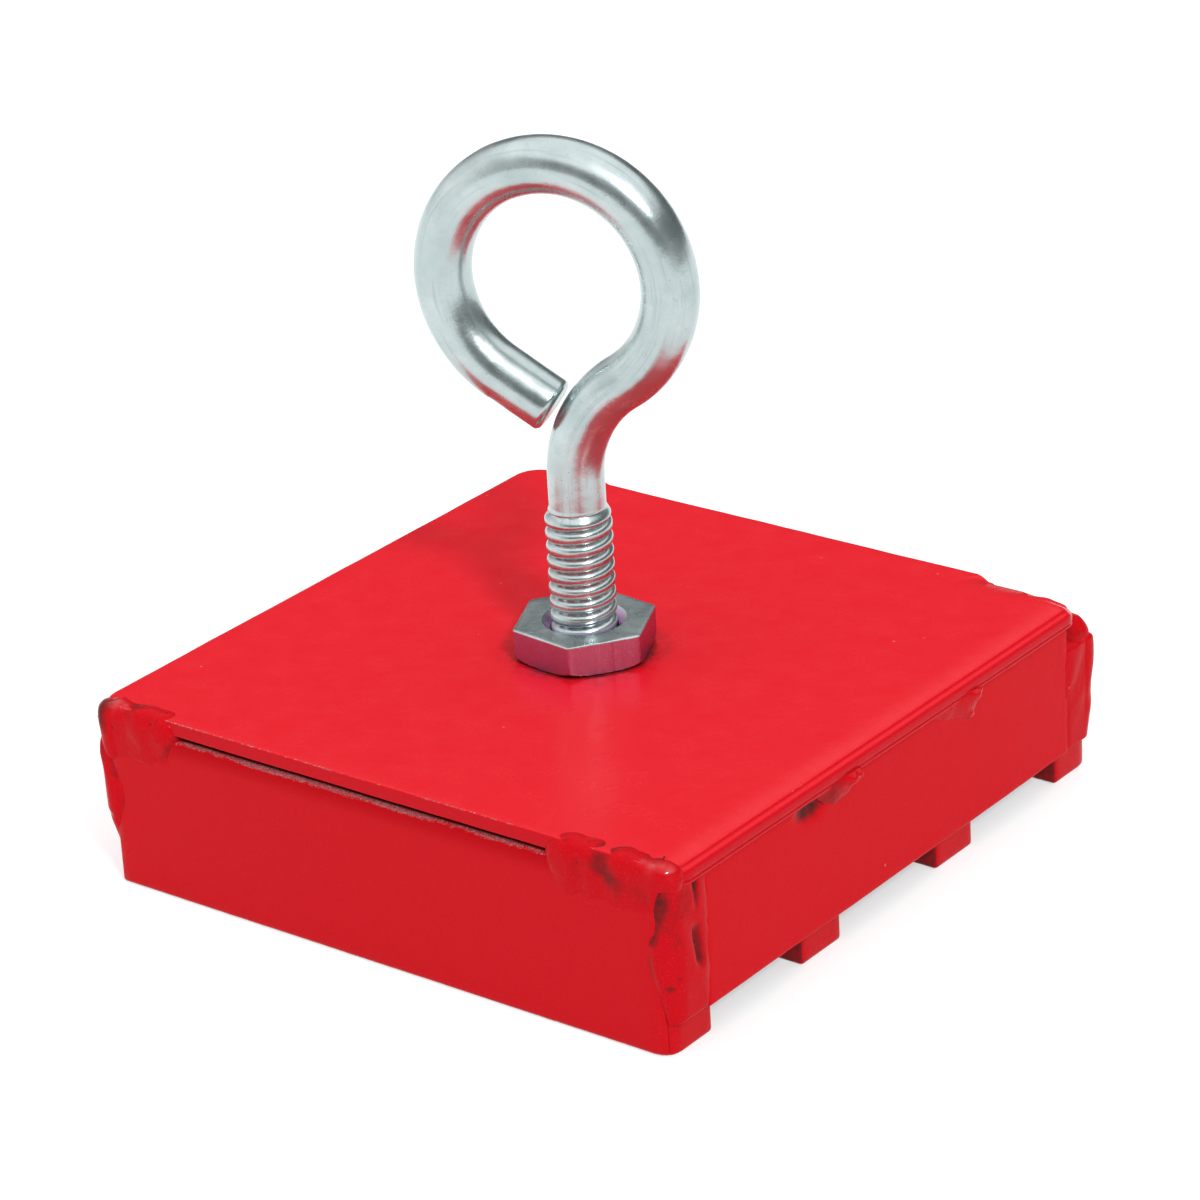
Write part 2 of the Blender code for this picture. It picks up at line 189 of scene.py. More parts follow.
def add_node(tree, kind, settings=None, **inputs):
    """Adds a node to a tree. inputs are numbers, colours or sockets by name, with _ for a space."""
    node = tree.nodes.new("ShaderNode" + kind)
    for name, value in (settings or {}).items():
        setattr(node, name, value)
    for name, value in inputs.items():
        fill(tree, node.inputs[name.replace("_", " ")], value)
    return node


def fill(tree, socket, value):
    """Links a socket into an input, or gives the input a number or a colour."""
    if isinstance(value, bpy.types.NodeSocket):
        tree.links.new(value, socket)
    else:
        socket.default_value = value


def maths_node(tree, operation, first, second, clamp=False):
    """A Math node in a tree. first and second are numbers or sockets."""
    node = add_node(tree, "Math", {"operation": operation, "use_clamp": clamp})
    for socket, value in zip(node.inputs, (first, second)):
        fill(tree, socket, value)
    return node.outputs["Value"]


class Shader:
    """A material under construction: short calls for the nodes that the finishes share."""

    def __init__(self, name):
        self.material = bpy.data.materials.new(name)
        self.material.use_nodes = True
        self.tree = self.material.node_tree
        self.principled = self.tree.nodes["Principled BSDF"]
        self.coordinates = add_node(self.tree, "TexCoord").outputs["Object"]

    def set(self, **values):
        for name, value in values.items():
            fill(self.tree, self.principled.inputs[name.replace("_", " ")], value)

    def attribute(self, name, output="Fac"):
        return add_node(self.tree, "Attribute", {"attribute_name": name}).outputs[output]

    def stretched(self, vector, scale):
        return add_node(self.tree, "Mapping", Scale=scale, Vector=vector).outputs["Vector"]

    def noise(self, scale, detail=2.0, roughness=0.5, vector=None):
        node = add_node(self.tree, "TexNoise", Scale=scale, Detail=detail, Roughness=roughness)
        fill(self.tree, node.inputs["Vector"], vector or self.coordinates)
        return node.outputs["Fac"]

    def cells(self, scale):
        return add_node(self.tree, "TexVoronoi", Scale=scale, Vector=self.coordinates).outputs

    def remap(self, value, low, high, new_low=0.0, new_high=1.0):
        node = add_node(self.tree, "MapRange", Value=value, From_Min=low, From_Max=high)
        fill(self.tree, node.inputs["To Min"], new_low)
        fill(self.tree, node.inputs["To Max"], new_high)
        return node.outputs["Result"]

    def maths(self, operation, first, second):
        return maths_node(self.tree, operation, first, second)

    def mix(self, factor, first, second):
        """A colour mix. first and second are colours or sockets."""
        node = add_node(self.tree, "Mix", {"data_type": "RGBA"}, Factor=factor)
        colour_sockets = [s for s in node.inputs if s.type == "RGBA"]
        for socket, value in zip(colour_sockets, (first, second)):
            fill(self.tree, socket, (*value, 1.0) if isinstance(value, tuple) else value)
        return next(s for s in node.outputs if s.type == "RGBA")

    def height(self):
        return add_node(self.tree, "SeparateXYZ", Vector=self.coordinates).outputs["Z"]

    def bump(self, height, distance, below=None):
        node = add_node(self.tree, "Bump", Distance=distance, Strength=1.0, Height=height)
        if below is not None:
            fill(self.tree, node.inputs["Normal"], below)
        return node.outputs["Normal"]

    def out(self, **sockets):
        self.set(**sockets)
        return self.material


# ---------------------------------------------------------------- finishes

EDGE_SHADE = 0.46
PAINT = (0.672, 0.006, 0.015)
PAINT_DEEP = (0.55, 0.004, 0.010)
PLATE_PAINT = (0.505, 0.0035, 0.008)
CASE_PAINT = (0.533, 0.0035, 0.008)
WELD_PAINT = (0.49, 0.0035, 0.008)
SPECK = (0.90, 0.30, 0.34)
GRAIN = (0.84, 0.04, 0.08)
WORN = (0.30, 0.085, 0.10)
WORN_METAL = (0.42, 0.27, 0.24)
WORN_DARK = (0.12, 0.03, 0.04)
# Painted shade: the near-black that hollows, creases, undersides and the nut's foot are darkened to
PAINTED_SHADE_DARK = (0.060, 0.012, 0.012)
SHADED = (0.30, 0.0015, 0.005)
ZINC_LIGHT = (0.55, 0.62, 0.625)
ZINC_DEEP = (0.40, 0.475, 0.48)
ZINC_PIT = (0.30, 0.34, 0.33)
# Painted reflection: the violet cast of the nut's sides; below it, painted shade for its flats
VIOLET = (0.60, 0.33, 0.60)
VIOLET_FLAT_SHADE = (0.34, 0.06, 0.20)
STEEL_DARK = (0.34, 0.33, 0.32)
STEEL_LIGHT = (0.62, 0.61, 0.59)
FERRITE_DARK = (0.030, 0.030, 0.033)
FERRITE_LIGHT = (0.070, 0.068, 0.070)
FERRITE_CHIP = (0.16, 0.155, 0.15)


def paint_finish(name, colour, gloss, peel=1.0, bare_below=None, polish=1.0):
    """Paint with orange peel, grain and specks. The mesh says how worn and how wet it is, and where painted
    shade darkens it.
    """
    s = Shader(name)
    s.set(IOR=1.5)
    grain = s.noise(7000.0, 2.0, 0.7)
    tint = s.mix(s.remap(grain, 0.55, 0.78, 0.0, 0.30), colour, GRAIN)
    tint = s.mix(s.remap(grain, 0.45, 0.25, 0.0, 0.30), tint, PAINT_DEEP)

    cells = s.cells(620.0)
    chosen = s.remap(cells["Color"], 0.84, 0.88)
    speck = s.maths("MULTIPLY", s.remap(cells["Distance"], 0.09, 0.04), chosen)
    tint = s.mix(s.maths("MULTIPLY", speck, 0.45), tint, SPECK)

    fine = s.noise(9000.0, 3.0, 0.75)
    wear = s.attribute("wear")
    ragged = s.maths("ADD", wear, s.remap(s.noise(2200.0, 4.0, 0.7), 0.0, 1.0, -0.55, 0.25))
    ragged = s.maths("ADD", ragged, s.remap(fine, 0.0, 1.0, -0.45, 0.30))
    worn = s.maths("MULTIPLY", s.remap(ragged, 0.22, 0.34), s.remap(wear, 0.03, 0.15))
    metal_shows = s.maths("MULTIPLY", s.remap(fine, 0.52, 0.60), worn)
    tint = s.mix(worn, tint, WORN)
    tint = s.mix(metal_shows, tint, WORN_METAL)
    tint = s.mix(s.maths("MULTIPLY", s.remap(fine, 0.44, 0.38), worn), tint, WORN_DARK)
    shade = s.attribute("shade")
    tint = s.mix(shade, tint, SHADED)
    # Painted shade: darkens the paint where the mesh asks, made patchy by noise
    painted_shade = s.maths("ADD", s.attribute("painted_shade"), s.remap(s.noise(1800.0, 3.0, 0.6), 0.3, 0.7, -0.16, 0.16))
    tint = s.mix(s.remap(painted_shade, 0.18, 1.0), tint, PAINTED_SHADE_DARK)

    roughness = s.remap(s.noise(420.0, 3.0), 0.3, 0.7, 0.16 * polish, 0.25 * polish)
    roughness = s.maths("ADD", roughness, s.maths("MULTIPLY", worn, 0.35))
    wet = s.attribute("wet")
    roughness = s.maths("MULTIPLY", roughness, s.remap(wet, 0.0, 1.0, 1.0, 0.55))
    shine = s.maths("MULTIPLY", s.remap(wet, 0.0, 1.0, gloss, 0.9), s.remap(shade, 0.0, EDGE_SHADE, 1.0, 0.3))
    s.set(Specular_IOR_Level=shine)
    peel_bump = s.bump(s.noise(1100.0, 2.0), 0.016 * MM * peel)
    normal = s.bump(s.noise(6000.0, 2.0, 0.6), 0.0030 * MM * peel, below=peel_bump)
    normal = s.bump(speck, 0.010 * MM, below=normal)
    if bare_below is None:
        return s.out(Base_Color=tint, Roughness=roughness, Normal=normal)

    edge = s.maths("ADD", s.height(), s.remap(s.noise(1500.0, 4.0, 0.65), 0.3, 0.7, -0.10 * MM, 0.10 * MM))
    bare = s.remap(edge, bare_below, bare_below * 0.5, 0.0, 1.0)
    grind = s.noise(1.0, 4.0, 0.7, s.stretched(s.coordinates, (260.0, 9000.0, 9000.0)))
    steel = s.mix(grind, STEEL_DARK, STEEL_LIGHT)
    tint = s.mix(bare, tint, steel)
    roughness = s.maths(
        "ADD",
        s.maths("MULTIPLY", roughness, s.maths("SUBTRACT", 1.0, bare)),
        s.maths("MULTIPLY", s.remap(grind, 0.3, 0.7, 0.22, 0.42), bare),
    )
    normal = s.bump(s.maths("MULTIPLY", grind, bare), 0.006 * MM, below=normal)
    return s.out(Base_Color=tint, Roughness=roughness, Normal=normal, Metallic=bare)


def zinc_finish(name, along=None, violet_below=None):
    """Zinc plate: draw lines, cloudy patches and small pits. Below one height, a violet painted reflection
    and violet painted shade on the flats.
    """
    s = Shader(name)
    space = s.coordinates if along is None else s.attribute(along, "Vector")
    stretch = (3200.0, 3200.0, 160.0) if along else (900.0, 900.0, 260.0)
    lines = s.noise(1.0, 3.0, 0.6, s.stretched(space, stretch))
    cloud = s.noise(340.0, 4.0, 0.6)
    tint = s.mix(s.remap(cloud, 0.3, 0.7), ZINC_DEEP, ZINC_LIGHT)
    tint = s.mix(s.remap(lines, 0.55, 0.75, 0.0, 0.45), tint, tuple(c * 0.7 for c in ZINC_DEEP))
    pits = s.remap(s.noise(2400.0, 3.0, 0.6), 0.66, 0.74, 0.0, 1.0)
    tint = s.mix(s.maths("MULTIPLY", pits, 0.35), tint, ZINC_PIT)
    s.set(Metallic=0.94)
    if violet_below is not None:
        # Painted reflection: below the top face the nut takes a violet cast
        lower = s.remap(s.height(), violet_below + 0.05 * MM, violet_below - 0.05 * MM)
        tint = s.mix(s.maths("MULTIPLY", lower, 0.80), tint, VIOLET)
        tint = s.mix(s.maths("MULTIPLY", s.attribute("flat_shade"), lower), tint, VIOLET_FLAT_SHADE)
        s.set(Metallic=s.remap(lower, 0.0, 1.0, 0.94, 0.88))
    roughness = s.remap(cloud, 0.3, 0.7, 0.21, 0.31)
    roughness = s.maths("ADD", roughness, s.maths("MULTIPLY", pits, 0.15))
    normal = s.bump(lines, 0.006 * MM)
    normal = s.bump(s.noise(1300.0, 3.0), 0.010 * MM, below=normal)
    normal = s.bump(s.noise(5200.0, 2.0), 0.0022 * MM, below=normal)
    return s.out(Base_Color=tint, Roughness=roughness, Normal=normal)


def ferrite_finish(name):
    """Sintered ferrite: matt charcoal with grinding marks, pores and lighter chipped spots."""
    s = Shader(name)
    s.set(Specular_IOR_Level=0.45)
    broad = s.noise(260.0, 4.0)
    tint = s.mix(s.remap(broad, 0.3, 0.7), FERRITE_DARK, FERRITE_LIGHT)
    chips = s.remap(s.maths("ADD", s.attribute("wear"), s.noise(1500.0, 4.0, 0.7)), 1.0, 1.25)
    tint = s.mix(chips, tint, FERRITE_CHIP)
    grind = s.noise(1.0, 3.0, 0.6, s.stretched(s.coordinates, (300.0, 5200.0, 5200.0)))
    roughness = s.remap(grind, 0.3, 0.7, 0.52, 0.74)
    normal = s.bump(grind, 0.010 * MM)
    normal = s.bump(s.noise(3600.0, 3.0, 0.7), 0.020 * MM, below=normal)
    return s.out(Base_Color=tint, Roughness=roughness, Normal=normal)


# ---------------------------------------------------------------- sheets


def rounded_outline(west, east, south, north, radius, straight_steps=120, corner_steps=14):
    """Points round a rounded rectangle, the same number whatever its size, with their outward directions."""
    points, outward = [], []
    corners = ((east, north, 1, 1, 0.0), (west, north, -1, 1, 90.0), (west, south, -1, -1, 180.0))
    corners += ((east, south, 1, -1, 270.0),)
    centres = [Vector((x - side_x * radius, y - side_y * radius)) for x, y, side_x, side_y, _ in corners]
    for number, (_, _, _, _, start) in enumerate(corners):
        for step in range(corner_steps + 1):
            angle = math.radians(start + 90.0 * step / corner_steps)
            direction = Vector((math.cos(angle), math.sin(angle)))
            points.append(centres[number] + radius * direction)
            outward.append(direction)
        angle = math.radians(start + 90.0)
        direction = Vector((math.cos(angle), math.sin(angle)))
        first, last = points[-1], centres[(number + 1) % 4] + radius * direction
        for step in range(1, straight_steps):
            points.append(first.lerp(last, step / straight_steps))
            outward.append(direction)
    return np.array(points), np.array(outward)


def rolled(inset, start_inset, top, drop, steps=10):
    """A quarter ellipse from (start_inset, top - drop) up and in to (inset, top)."""
    angles = np.linspace(0, math.pi / 2, steps)
    wide = inset - start_inset
    return [(start_inset + wide * (1 - math.cos(a)), top - drop * (1 - math.sin(a))) for a in angles]


# How the cover's edges run, as (inset, height) in mm. LIP goes down a lip's inside, round and up its outside
LIP = (
    (0.65, 13.05), (0.65, 12.95), (0.65, 12.70), (0.62, 12.56), (0.52, 12.48), (0.36, 12.46), (0.18, 12.46),
    (0.06, 12.50), (0.01, 12.58), (0.0, 12.68), (0.0, 12.74), (0.055, 12.79), (0.055, 12.83), (0.0, 12.89),
    (0.0, 13.0), (0.0, 13.25), (0.03, 13.42), (0.11, 13.54), (0.22, 13.62), (0.31, 13.66), (0.36, 13.72),
)  # fmt: skip
SHEET_EDGE = tuple((0.65 - 0.53 * share, 13.05) for share in np.linspace(0, 1, 7))
SHEET_EDGE += ((0.09, 13.06), (0.035, 13.10), (0.0, 13.17))
SHEET_EDGE += tuple((0.0, 13.17 + 0.073 * step) for step in range(1, 12))


def build_cover(finish):
    """The top sheet. Its left and right sides are bent down, softly on the right and tighter on the left."""
    low, high = COVER_LOW, COVER_HIGH
    top = high.z / MM
    right = LIP + tuple(rolled(2.3, 0.40, top, 0.40))
    left = LIP[:-1] + ((0.10, 13.72),) + tuple(rolled(0.60, 0.02, top, 0.34))
    front = SHEET_EDGE + tuple(rolled(0.13, 0.0, top, 0.13))
    rings = []
    for (right_inset, right_z), (left_inset, left_z), (front_inset, front_z) in zip(right, left, front):
        radius = float(max(2.0 - min(right_inset, left_inset, front_inset), 0.3))
        plan, outward = rounded_outline(
            low.x + left_inset * MM,
            high.x - right_inset * MM,
            low.y + front_inset * MM,
            high.y - front_inset * MM,
            radius * MM,
        )
        sideways = outward[:, 0] ** 2
        side_z = np.where(outward[:, 0] > 0, right_z, left_z)
        rings.append(np.column_stack((plan, (side_z * sideways + front_z * (1 - sideways)) * MM)))
    outer_plan = rings[-1][:, :2]
    bearing = np.arctan2(outer_plan[:, 1] - BOLT_Y, outer_plan[:, 0] - BOLT_X)
    hole = np.array((BOLT_X, BOLT_Y)) + COVER_HOLE * np.column_stack((np.cos(bearing), np.sin(bearing)))
    middle = hole + (hole - (BOLT_X, BOLT_Y)) * 0.85
    inwards = (0.04, 0.1, 0.2, 0.32, 0.45, 0.6, 0.75, 0.9, 1.0)
    flats = [outer_plan + (middle - outer_plan) * share for share in inwards]
    flats += [middle + (hole - middle) * share for share in (0.1, 0.2, 0.4, 0.7, 1.0)]
    for number, plan in enumerate(flats):
        share = number / (len(flats) - 1)
        flat = np.column_stack((plan, np.full(len(plan), high.z)))
        fade = min(1.0, share / 0.2) * min(1.0, (1 - share) / 0.2)
        flat[:, 2] += 0.035 * MM * fade * wobbles(flat, 75.0, 3.0)
        rings.append(flat)
    rings.append(np.column_stack((hole, np.full(len(hole), high.z - SHEET_THICKNESS * 0.5))))
    rings.append(np.column_stack((hole, np.full(len(hole), SHEET_UNDERSIDE))))
    cover = mesh_object("cover_sheet", np.vstack(rings), ring_faces(len(rings), len(outer_plan), True))
    face_outwards(cover)
    points = points_of(cover)
    # Wear and a painted highlight along the top front and back edges, and wear on the lip
    set_values(cover, "wear", np.maximum(front_edge_wear_and_highlight(points), lip_wear(points)))
    points[:, 2] -= melted_down(points)
    from_bolt = np.hypot(points[:, 0] - BOLT_X, points[:, 1] - BOLT_Y)
    points[:, 2] -= 0.06 * MM * (1 - smoothstep(5.7 * MM, 8.0 * MM, from_bolt))
    set_points(cover, points)
    # Painted shade on the sheet's underside, and a painted contact shadow in a ring round the nut's foot
    inside = (points[:, 2] < SHEET_UNDERSIDE + 0.02 * MM) & (np.abs(points[:, 0]) < high.x - 0.64 * MM)
    tilt = 1 - np.abs(vertex_normals(cover)[:, 2])
    under_nut = 0.8 * (1 - smoothstep(4.8 * MM, 5.5 * MM, from_bolt))
    set_values(cover, "painted_shade", np.maximum(inside * 0.9, under_nut))
    set_values(cover, "shade", EDGE_SHADE * smoothstep(0.03, 0.6, tilt))
    roughen(cover, [(0.015 * MM, 500.0, 1.0), (0.02 * MM, 160.0, 5.0)])
    return finish_piece(cover, finish, BLOCK, "top_cover", math.radians(70.0))


def melted_down(points):
    """How far welding has brought the cover down along its back edge beside the right-hand corner."""
    across, behind = points[:, 0] / MM, points[:, 1] / MM
    edge = 0.75 * smoothstep(22.9, 24.1, behind) * smoothstep(16.4, 18.2, across)
    along, out = across - 21.9, behind - 22.2
    bearing = np.degrees(np.arctan2(out, np.maximum(along, 0.01)))
    corner = 0.40 * smoothstep(0.4, 3.0, np.hypot(along, out)) * smoothstep(0.0, 24.0, bearing)
    return np.maximum(edge, corner * (along > 0) * (out > 0)) * MM


def front_edge_wear_and_highlight(points):
    """Wear and a painted highlight along the cover's upper front and back edges, fading within a fraction of
    a millimetre.
    """
    from_side = np.minimum(points[:, 1] - points[:, 1].min(), points[:, 1].max() - points[:, 1])
    from_edge = np.hypot(from_side, points[:, 2] - COVER_TOP)
    patchy = 0.65 + 0.35 * wobbles(points, 260.0, 9.0)
    return 0.95 * np.clip(1 - from_edge / (0.20 * MM), 0, 1) * patchy


def lip_wear(points):
    """A rubbed stretch along the crest of the right-hand lip."""
    from_crest = np.hypot(points[:, 0] - (COVER_HIGH.x - 0.44 * MM), points[:, 2] - (COVER_TOP - 0.24 * MM))
    return 0.85 * hump(points[:, 1], -11.0 * MM, 2.6 * MM) * np.clip(1 - from_crest / (0.16 * MM), 0, 1)


# ---------------------------------------------------------------- plates and blocks


def graded(low, high, radius, spacing):
    """Positions from low to high, close together near the ends and at most spacing apart between."""
    near = radius * (1 - np.cos(np.linspace(0, math.pi / 2, 5)))
    count = max(2, int(math.ceil((high - low - 2 * radius) / spacing)) + 1)
    between = np.linspace(low + radius, high - radius, count)
    return np.concatenate((low + near[:-1], between, (high - near[:-1])[::-1]))


def rounded_box(name, low, high, radius, spacing):
    """A box with rounded edges whose faces are fine grids."""
    lines = [graded(low[i], high[i], radius, spacing) for i in range(3)]
    last = [len(line) - 1 for line in lines]
    index, lattice = {}, []

    def corner(key):
        if key not in index:
            index[key] = len(lattice)
            lattice.append(tuple(lines[i][key[i]] for i in range(3)))
        return index[key]

    faces = []
    for axis in range(3):
        first, second = (axis + 1) % 3, (axis + 2) % 3
        for end in (0, last[axis]):
            for a in range(last[first]):
                for b in range(last[second]):
                    keys = []
                    for step_a, step_b in ((0, 0), (1, 0), (1, 1), (0, 1)):
                        key = [0, 0, 0]
                        key[axis], key[first], key[second] = end, a + step_a, b + step_b
                        keys.append(corner(tuple(key)))
                    faces.append(tuple(keys) if end else tuple(reversed(keys)))
    points = np.array(lattice)
    core = np.clip(points, np.array(low) + radius, np.array(high) - radius)
    away = points - core
    length = np.linalg.norm(away, axis=1)
    out = length > 1e-9
    points[out] = core[out] + radius * away[out] / length[out, None]
    return mesh_object(name, points, faces)


def build_side_plate(name, node, finish, seed):
    """The side sheet, sunk beside the first tack with painted shade in the dent, and a light bottom edge that
    is wear and a painted highlight.
    """
    low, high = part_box(node)
    outer = high.copy()
    outer.z = LIP_BOTTOM + 0.02 * MM
    plate = rounded_box(name, low, outer, 0.20 * MM, 0.40 * MM)
    points = points_of(plate)
    side = 1 if high.x > 0 else -1
    from_hollow = np.hypot((points[:, 1] + 10.2 * MM) / (2.1 * MM), (points[:, 2] - 11.9 * MM) / (0.95 * MM))
    hollow = (1 - smoothstep(0.35, 1.15, from_hollow)) * (side * points[:, 0] > SIDE_FACE - 0.15 * MM)
    points[:, 0] -= side * 0.30 * MM * hollow
    set_points(plate, points)
    # Wear and a painted highlight: a lighter line along the bottom edge
    near_bottom = np.clip(1 - np.abs(points[:, 2] - low.z) / (0.25 * MM), 0, 1)
    set_values(plate, "wear", near_bottom * (0.42 + 0.3 * wobbles(points, 300.0, seed)))
    # Painted shade in the dent beside the first tack
    set_values(plate, "painted_shade", 0.95 * hollow)
    roughen(plate, [(0.05 * MM, 90.0, seed), (0.012 * MM, 700.0, seed + 1)])
    return finish_piece(plate, finish, BLOCK, node)


def round_outer_corners(points, low, high, outer_side, radii):
    """Pushes a box's upright corners on one side, front (-1) or back (1), in to a left and a right radius."""
    face = high.y if outer_side > 0 else -low.y
    for side_x, radius in zip((-1, 1), radii):
        end = high.x if side_x > 0 else -low.x
        across = side_x * points[:, 0] - (end - radius)
        out = outer_side * points[:, 1] - (face - radius)
        near = (across > 0) & (out > 0)
        scale = np.maximum(across, out)[near] / np.hypot(across, out)[near]
        points[near, 0] = side_x * (end - radius + across[near] * scale)
        points[near, 1] = outer_side * (face - radius + out[near] * scale)


def melt_back_corners(points):
    """Takes the back plate's upper outer edge below the surface of the two back corner beads."""
    across = np.maximum(np.abs(points[:, 0]) - (SIDE_FACE - BACK_BEND), 0)
    out = np.maximum(points[:, 1] - (BACK_FACE - BACK_BEND), 0)
    depth = np.hypot(across, out) - BACK_BEND
    limit = 10.2 * MM - 1.25 * depth
    near = smoothstep(16.4 * MM, 17.4 * MM, np.abs(points[:, 0]))
    over = np.clip(points[:, 2] - limit, 0, None) * near * (out > 0)
    points[:, 2] -= over


def build_pole_plate(number, finish):
    """A pole plate, darkened with painted shade under the cover. The outer two are rubbed bare in specks
    along their upper edge.
    """
    node = f"pole_plate_{number}"
    low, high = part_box(node)
    plate = rounded_box(f"pole_{number}", low, high, 0.36 * MM, 0.55 * MM)
    points = points_of(plate)
    outer_side = {1: -1, 4: 1}.get(number)
    wear, shade = np.zeros(len(points)), np.zeros(len(points))
    # Painted shade: the top faces under the cover are darkened
    under_cover = smoothstep(0.1 * MM, 0.5 * MM, points[:, 1] - COVER_LOW.y)
    under_cover *= smoothstep(0.1 * MM, 0.5 * MM, COVER_HIGH.y - points[:, 1])
    painted_shade = 1.1 * under_cover * (points[:, 2] > high.z - 0.05 * MM)
    if outer_side:
        outer_y = high.y if outer_side > 0 else low.y
        above = (high.z - points[:, 2]) / MM
        behind = np.abs(points[:, 1] - outer_y) / MM
        along = np.abs(points[:, 0]) / MM
        wear = np.clip(1.10 - above / 0.42, 0, 1) * (behind < 0.40) * (1 - smoothstep(16.5, 19.5, along))
        wear *= 0.70 + 0.30 * wobbles(points, 240.0, 4.0)
        shade = 0.42 * (1 - smoothstep(0.3, 1.7, above)) * (behind < 0.40)
        round_outer_corners(points, low, high, outer_side, (0.45 * MM, 1.35 * MM))
        if outer_side > 0:
            melt_back_corners(points)
            wear *= 0.3
        set_points(plate, points)
    if number > 1:
        # Painted shade: the inner plates' front faces darken towards the feet, under the side sheet
        inner = (points[:, 1] < low.y + 0.12 * MM) * smoothstep(3.4 * MM, 2.2 * MM, points[:, 2])
        painted_shade = np.maximum(painted_shade, 0.72 * inner)
    at_foot = (points[:, 2] < 0.6 * MM) * np.clip(1 - points[:, 2] / (0.4 * MM), 0, 1)
    set_values(plate, "wear", np.maximum(wear, at_foot * 0.42))
    set_values(plate, "painted_shade", painted_shade)
    set_values(plate, "shade", shade)
    roughen(plate, [(0.022 * MM, 110.0, number), (0.010 * MM, 800.0, number + 3)])
    return finish_piece(plate, finish, BLOCK, node)


def build_ferrite(node, finish, seed):
    low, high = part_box(node)
    block = rounded_box(node.replace("ferrite", "magnet"), low, high, 0.32 * MM, 0.7 * MM)
    points = points_of(block)
    core = np.clip(points, np.array(low) + 0.35 * MM, np.array(high) - 0.35 * MM)
    edge = np.clip((np.linalg.norm(points - core, axis=1) - 0.352 * MM) / (0.1 * MM), 0, 1)
    set_values(block, "wear", edge * 0.7)
    roughen(block, [(0.05 * MM, 900.0, seed), (0.03 * MM, 2200.0, seed + 2)])
    return finish_piece(block, finish, BLOCK, node)


# ---------------------------------------------------------------- weld beads


def corner_of(node):
    """(side in X, side in Y) of a weld node, with its lowest and highest corner."""
    low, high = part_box(node)
    middle = (low + high) / 2
    return math.copysign(1, middle.x), math.copysign(1, middle.y), low, high


def corner_path(side_x, side_y, along_face, along_side, radius, step):
    """Plan points round a corner of the block, from x = along_face to y = along_side, both taken outwards."""
    face = BACK_FACE if side_y > 0 else FRONT_FACE
    centre = np.array((SIDE_FACE - radius, face - radius))
    path = []
    count = int((centre[0] - along_face) / step)
    for number in range(count):
        path.append((along_face + (centre[0] - along_face) * number / count, face, 0.0, 1.0))
    turn = max(8, int(radius * math.pi / 2 / step))
    for number in range(turn + 1):
        angle = math.pi / 2 * (1 - number / turn)
        out = (math.cos(angle), math.sin(angle))
        path.append((centre[0] + radius * out[0], centre[1] + radius * out[1], *out))
    count = max(1, int((centre[1] - along_side) / step))
    for number in range(1, count + 1):
        path.append((SIDE_FACE, centre[1] + (along_side - centre[1]) * number / count, 1.0, 0.0))
    path = np.array(path)
    length = np.concatenate(((0.0,), np.cumsum(np.hypot(*np.diff(path[:, :2], axis=0).T))))
    return path * (side_x, side_y, side_x, side_y), length


def resampled(profile, count):
    """A closed outline through the given points, smoothed and evenly spaced."""
    points = np.array(profile)
    for _ in range(3):
        following = np.roll(points, -1, axis=0)
        points = np.stack((points * 0.75 + following * 0.25, points * 0.25 + following * 0.75), 1)
        points = points.reshape(-1, 2)
    closed = np.vstack((points, points[:1]))
    length = np.concatenate(((0.0,), np.cumsum(np.hypot(*np.diff(closed, axis=0).T))))
    places = np.linspace(0, length[-1], count, endpoint=False)
    return np.column_stack([np.interp(places, length, closed[:, i]) for i in (0, 1)])


def loft(name, rings, ends=None):
    """A closed skin over rings, with a fan at each end round the given points or the rings' middles."""
    count, size = len(rings), len(rings[0])
    points = np.vstack((*rings, *(ends or (rings[0].mean(axis=0), rings[-1].mean(axis=0)))))
    faces = ring_faces(count, size)
    for step in range(size):
        after = (step + 1) % size
        faces.append((count * size, after, step))
        faces.append((count * size + 1, (count - 1) * size + step, (count - 1) * size + after))
    piece = mesh_object(name, points, faces)
    face_outwards(piece)
    return piece


def pitted(piece, rng, count, depth, width):
    """Presses small hollows into a bead. Returns how deep in one each vertex is, from 0 to 1."""
    points, normals = points_of(piece), vertex_normals(piece)
    share = np.zeros(len(points))
    for _ in range(count):
        centre = points[rng.randrange(len(points))]
        size = width * rng.uniform(0.6, 1.3)
        share = np.maximum(share, hump(np.linalg.norm(points - centre, axis=1), 0.0, size))
    set_points(piece, points - normals * (depth * share)[:, None])
    return share


def weld_skin(piece, finish, node, seed, depth, painted_shade, pits, lumpiness, wet_spots=()):
    """Lumps and pits on a bead, with painted shade between the lumps and in the pits. wet_spots are (place,
    size) of glassy paint.
    """
    roughen(
        piece,
        [
            (0.15 * MM * depth, 380.0, seed),
            (0.05 * MM * depth, 800.0, seed + 1.5),
            (0.016 * MM, 1700.0, seed + 3.0),
        ],
        lumpiness,
    )
    points = points_of(piece)
    # Painted shade between the lumps
    valley = 0.80 * smoothstep(-0.05, 0.6, -wobbles(points, 380.0, seed)) * lumpiness * depth
    wet = np.zeros(len(points))
    for place, size in wet_spots:
        wet = np.maximum(wet, hump(np.linalg.norm(points - place, axis=1), 0.0, size))
    set_values(piece, "wet", wet)
    holes = pitted(piece, random.Random(seed + 7), pits, 0.10 * MM, 0.20 * MM)
    # Painted shade in the pits and between the lumps, with any the caller gives
    set_values(piece, "painted_shade", np.maximum(np.maximum(0.75 * holes**2, valley), painted_shade))
    set_values(piece, "wear", np.zeros(len(holes)))
    return finish_piece(piece, finish, BLOCK, node, math.radians(80.0))


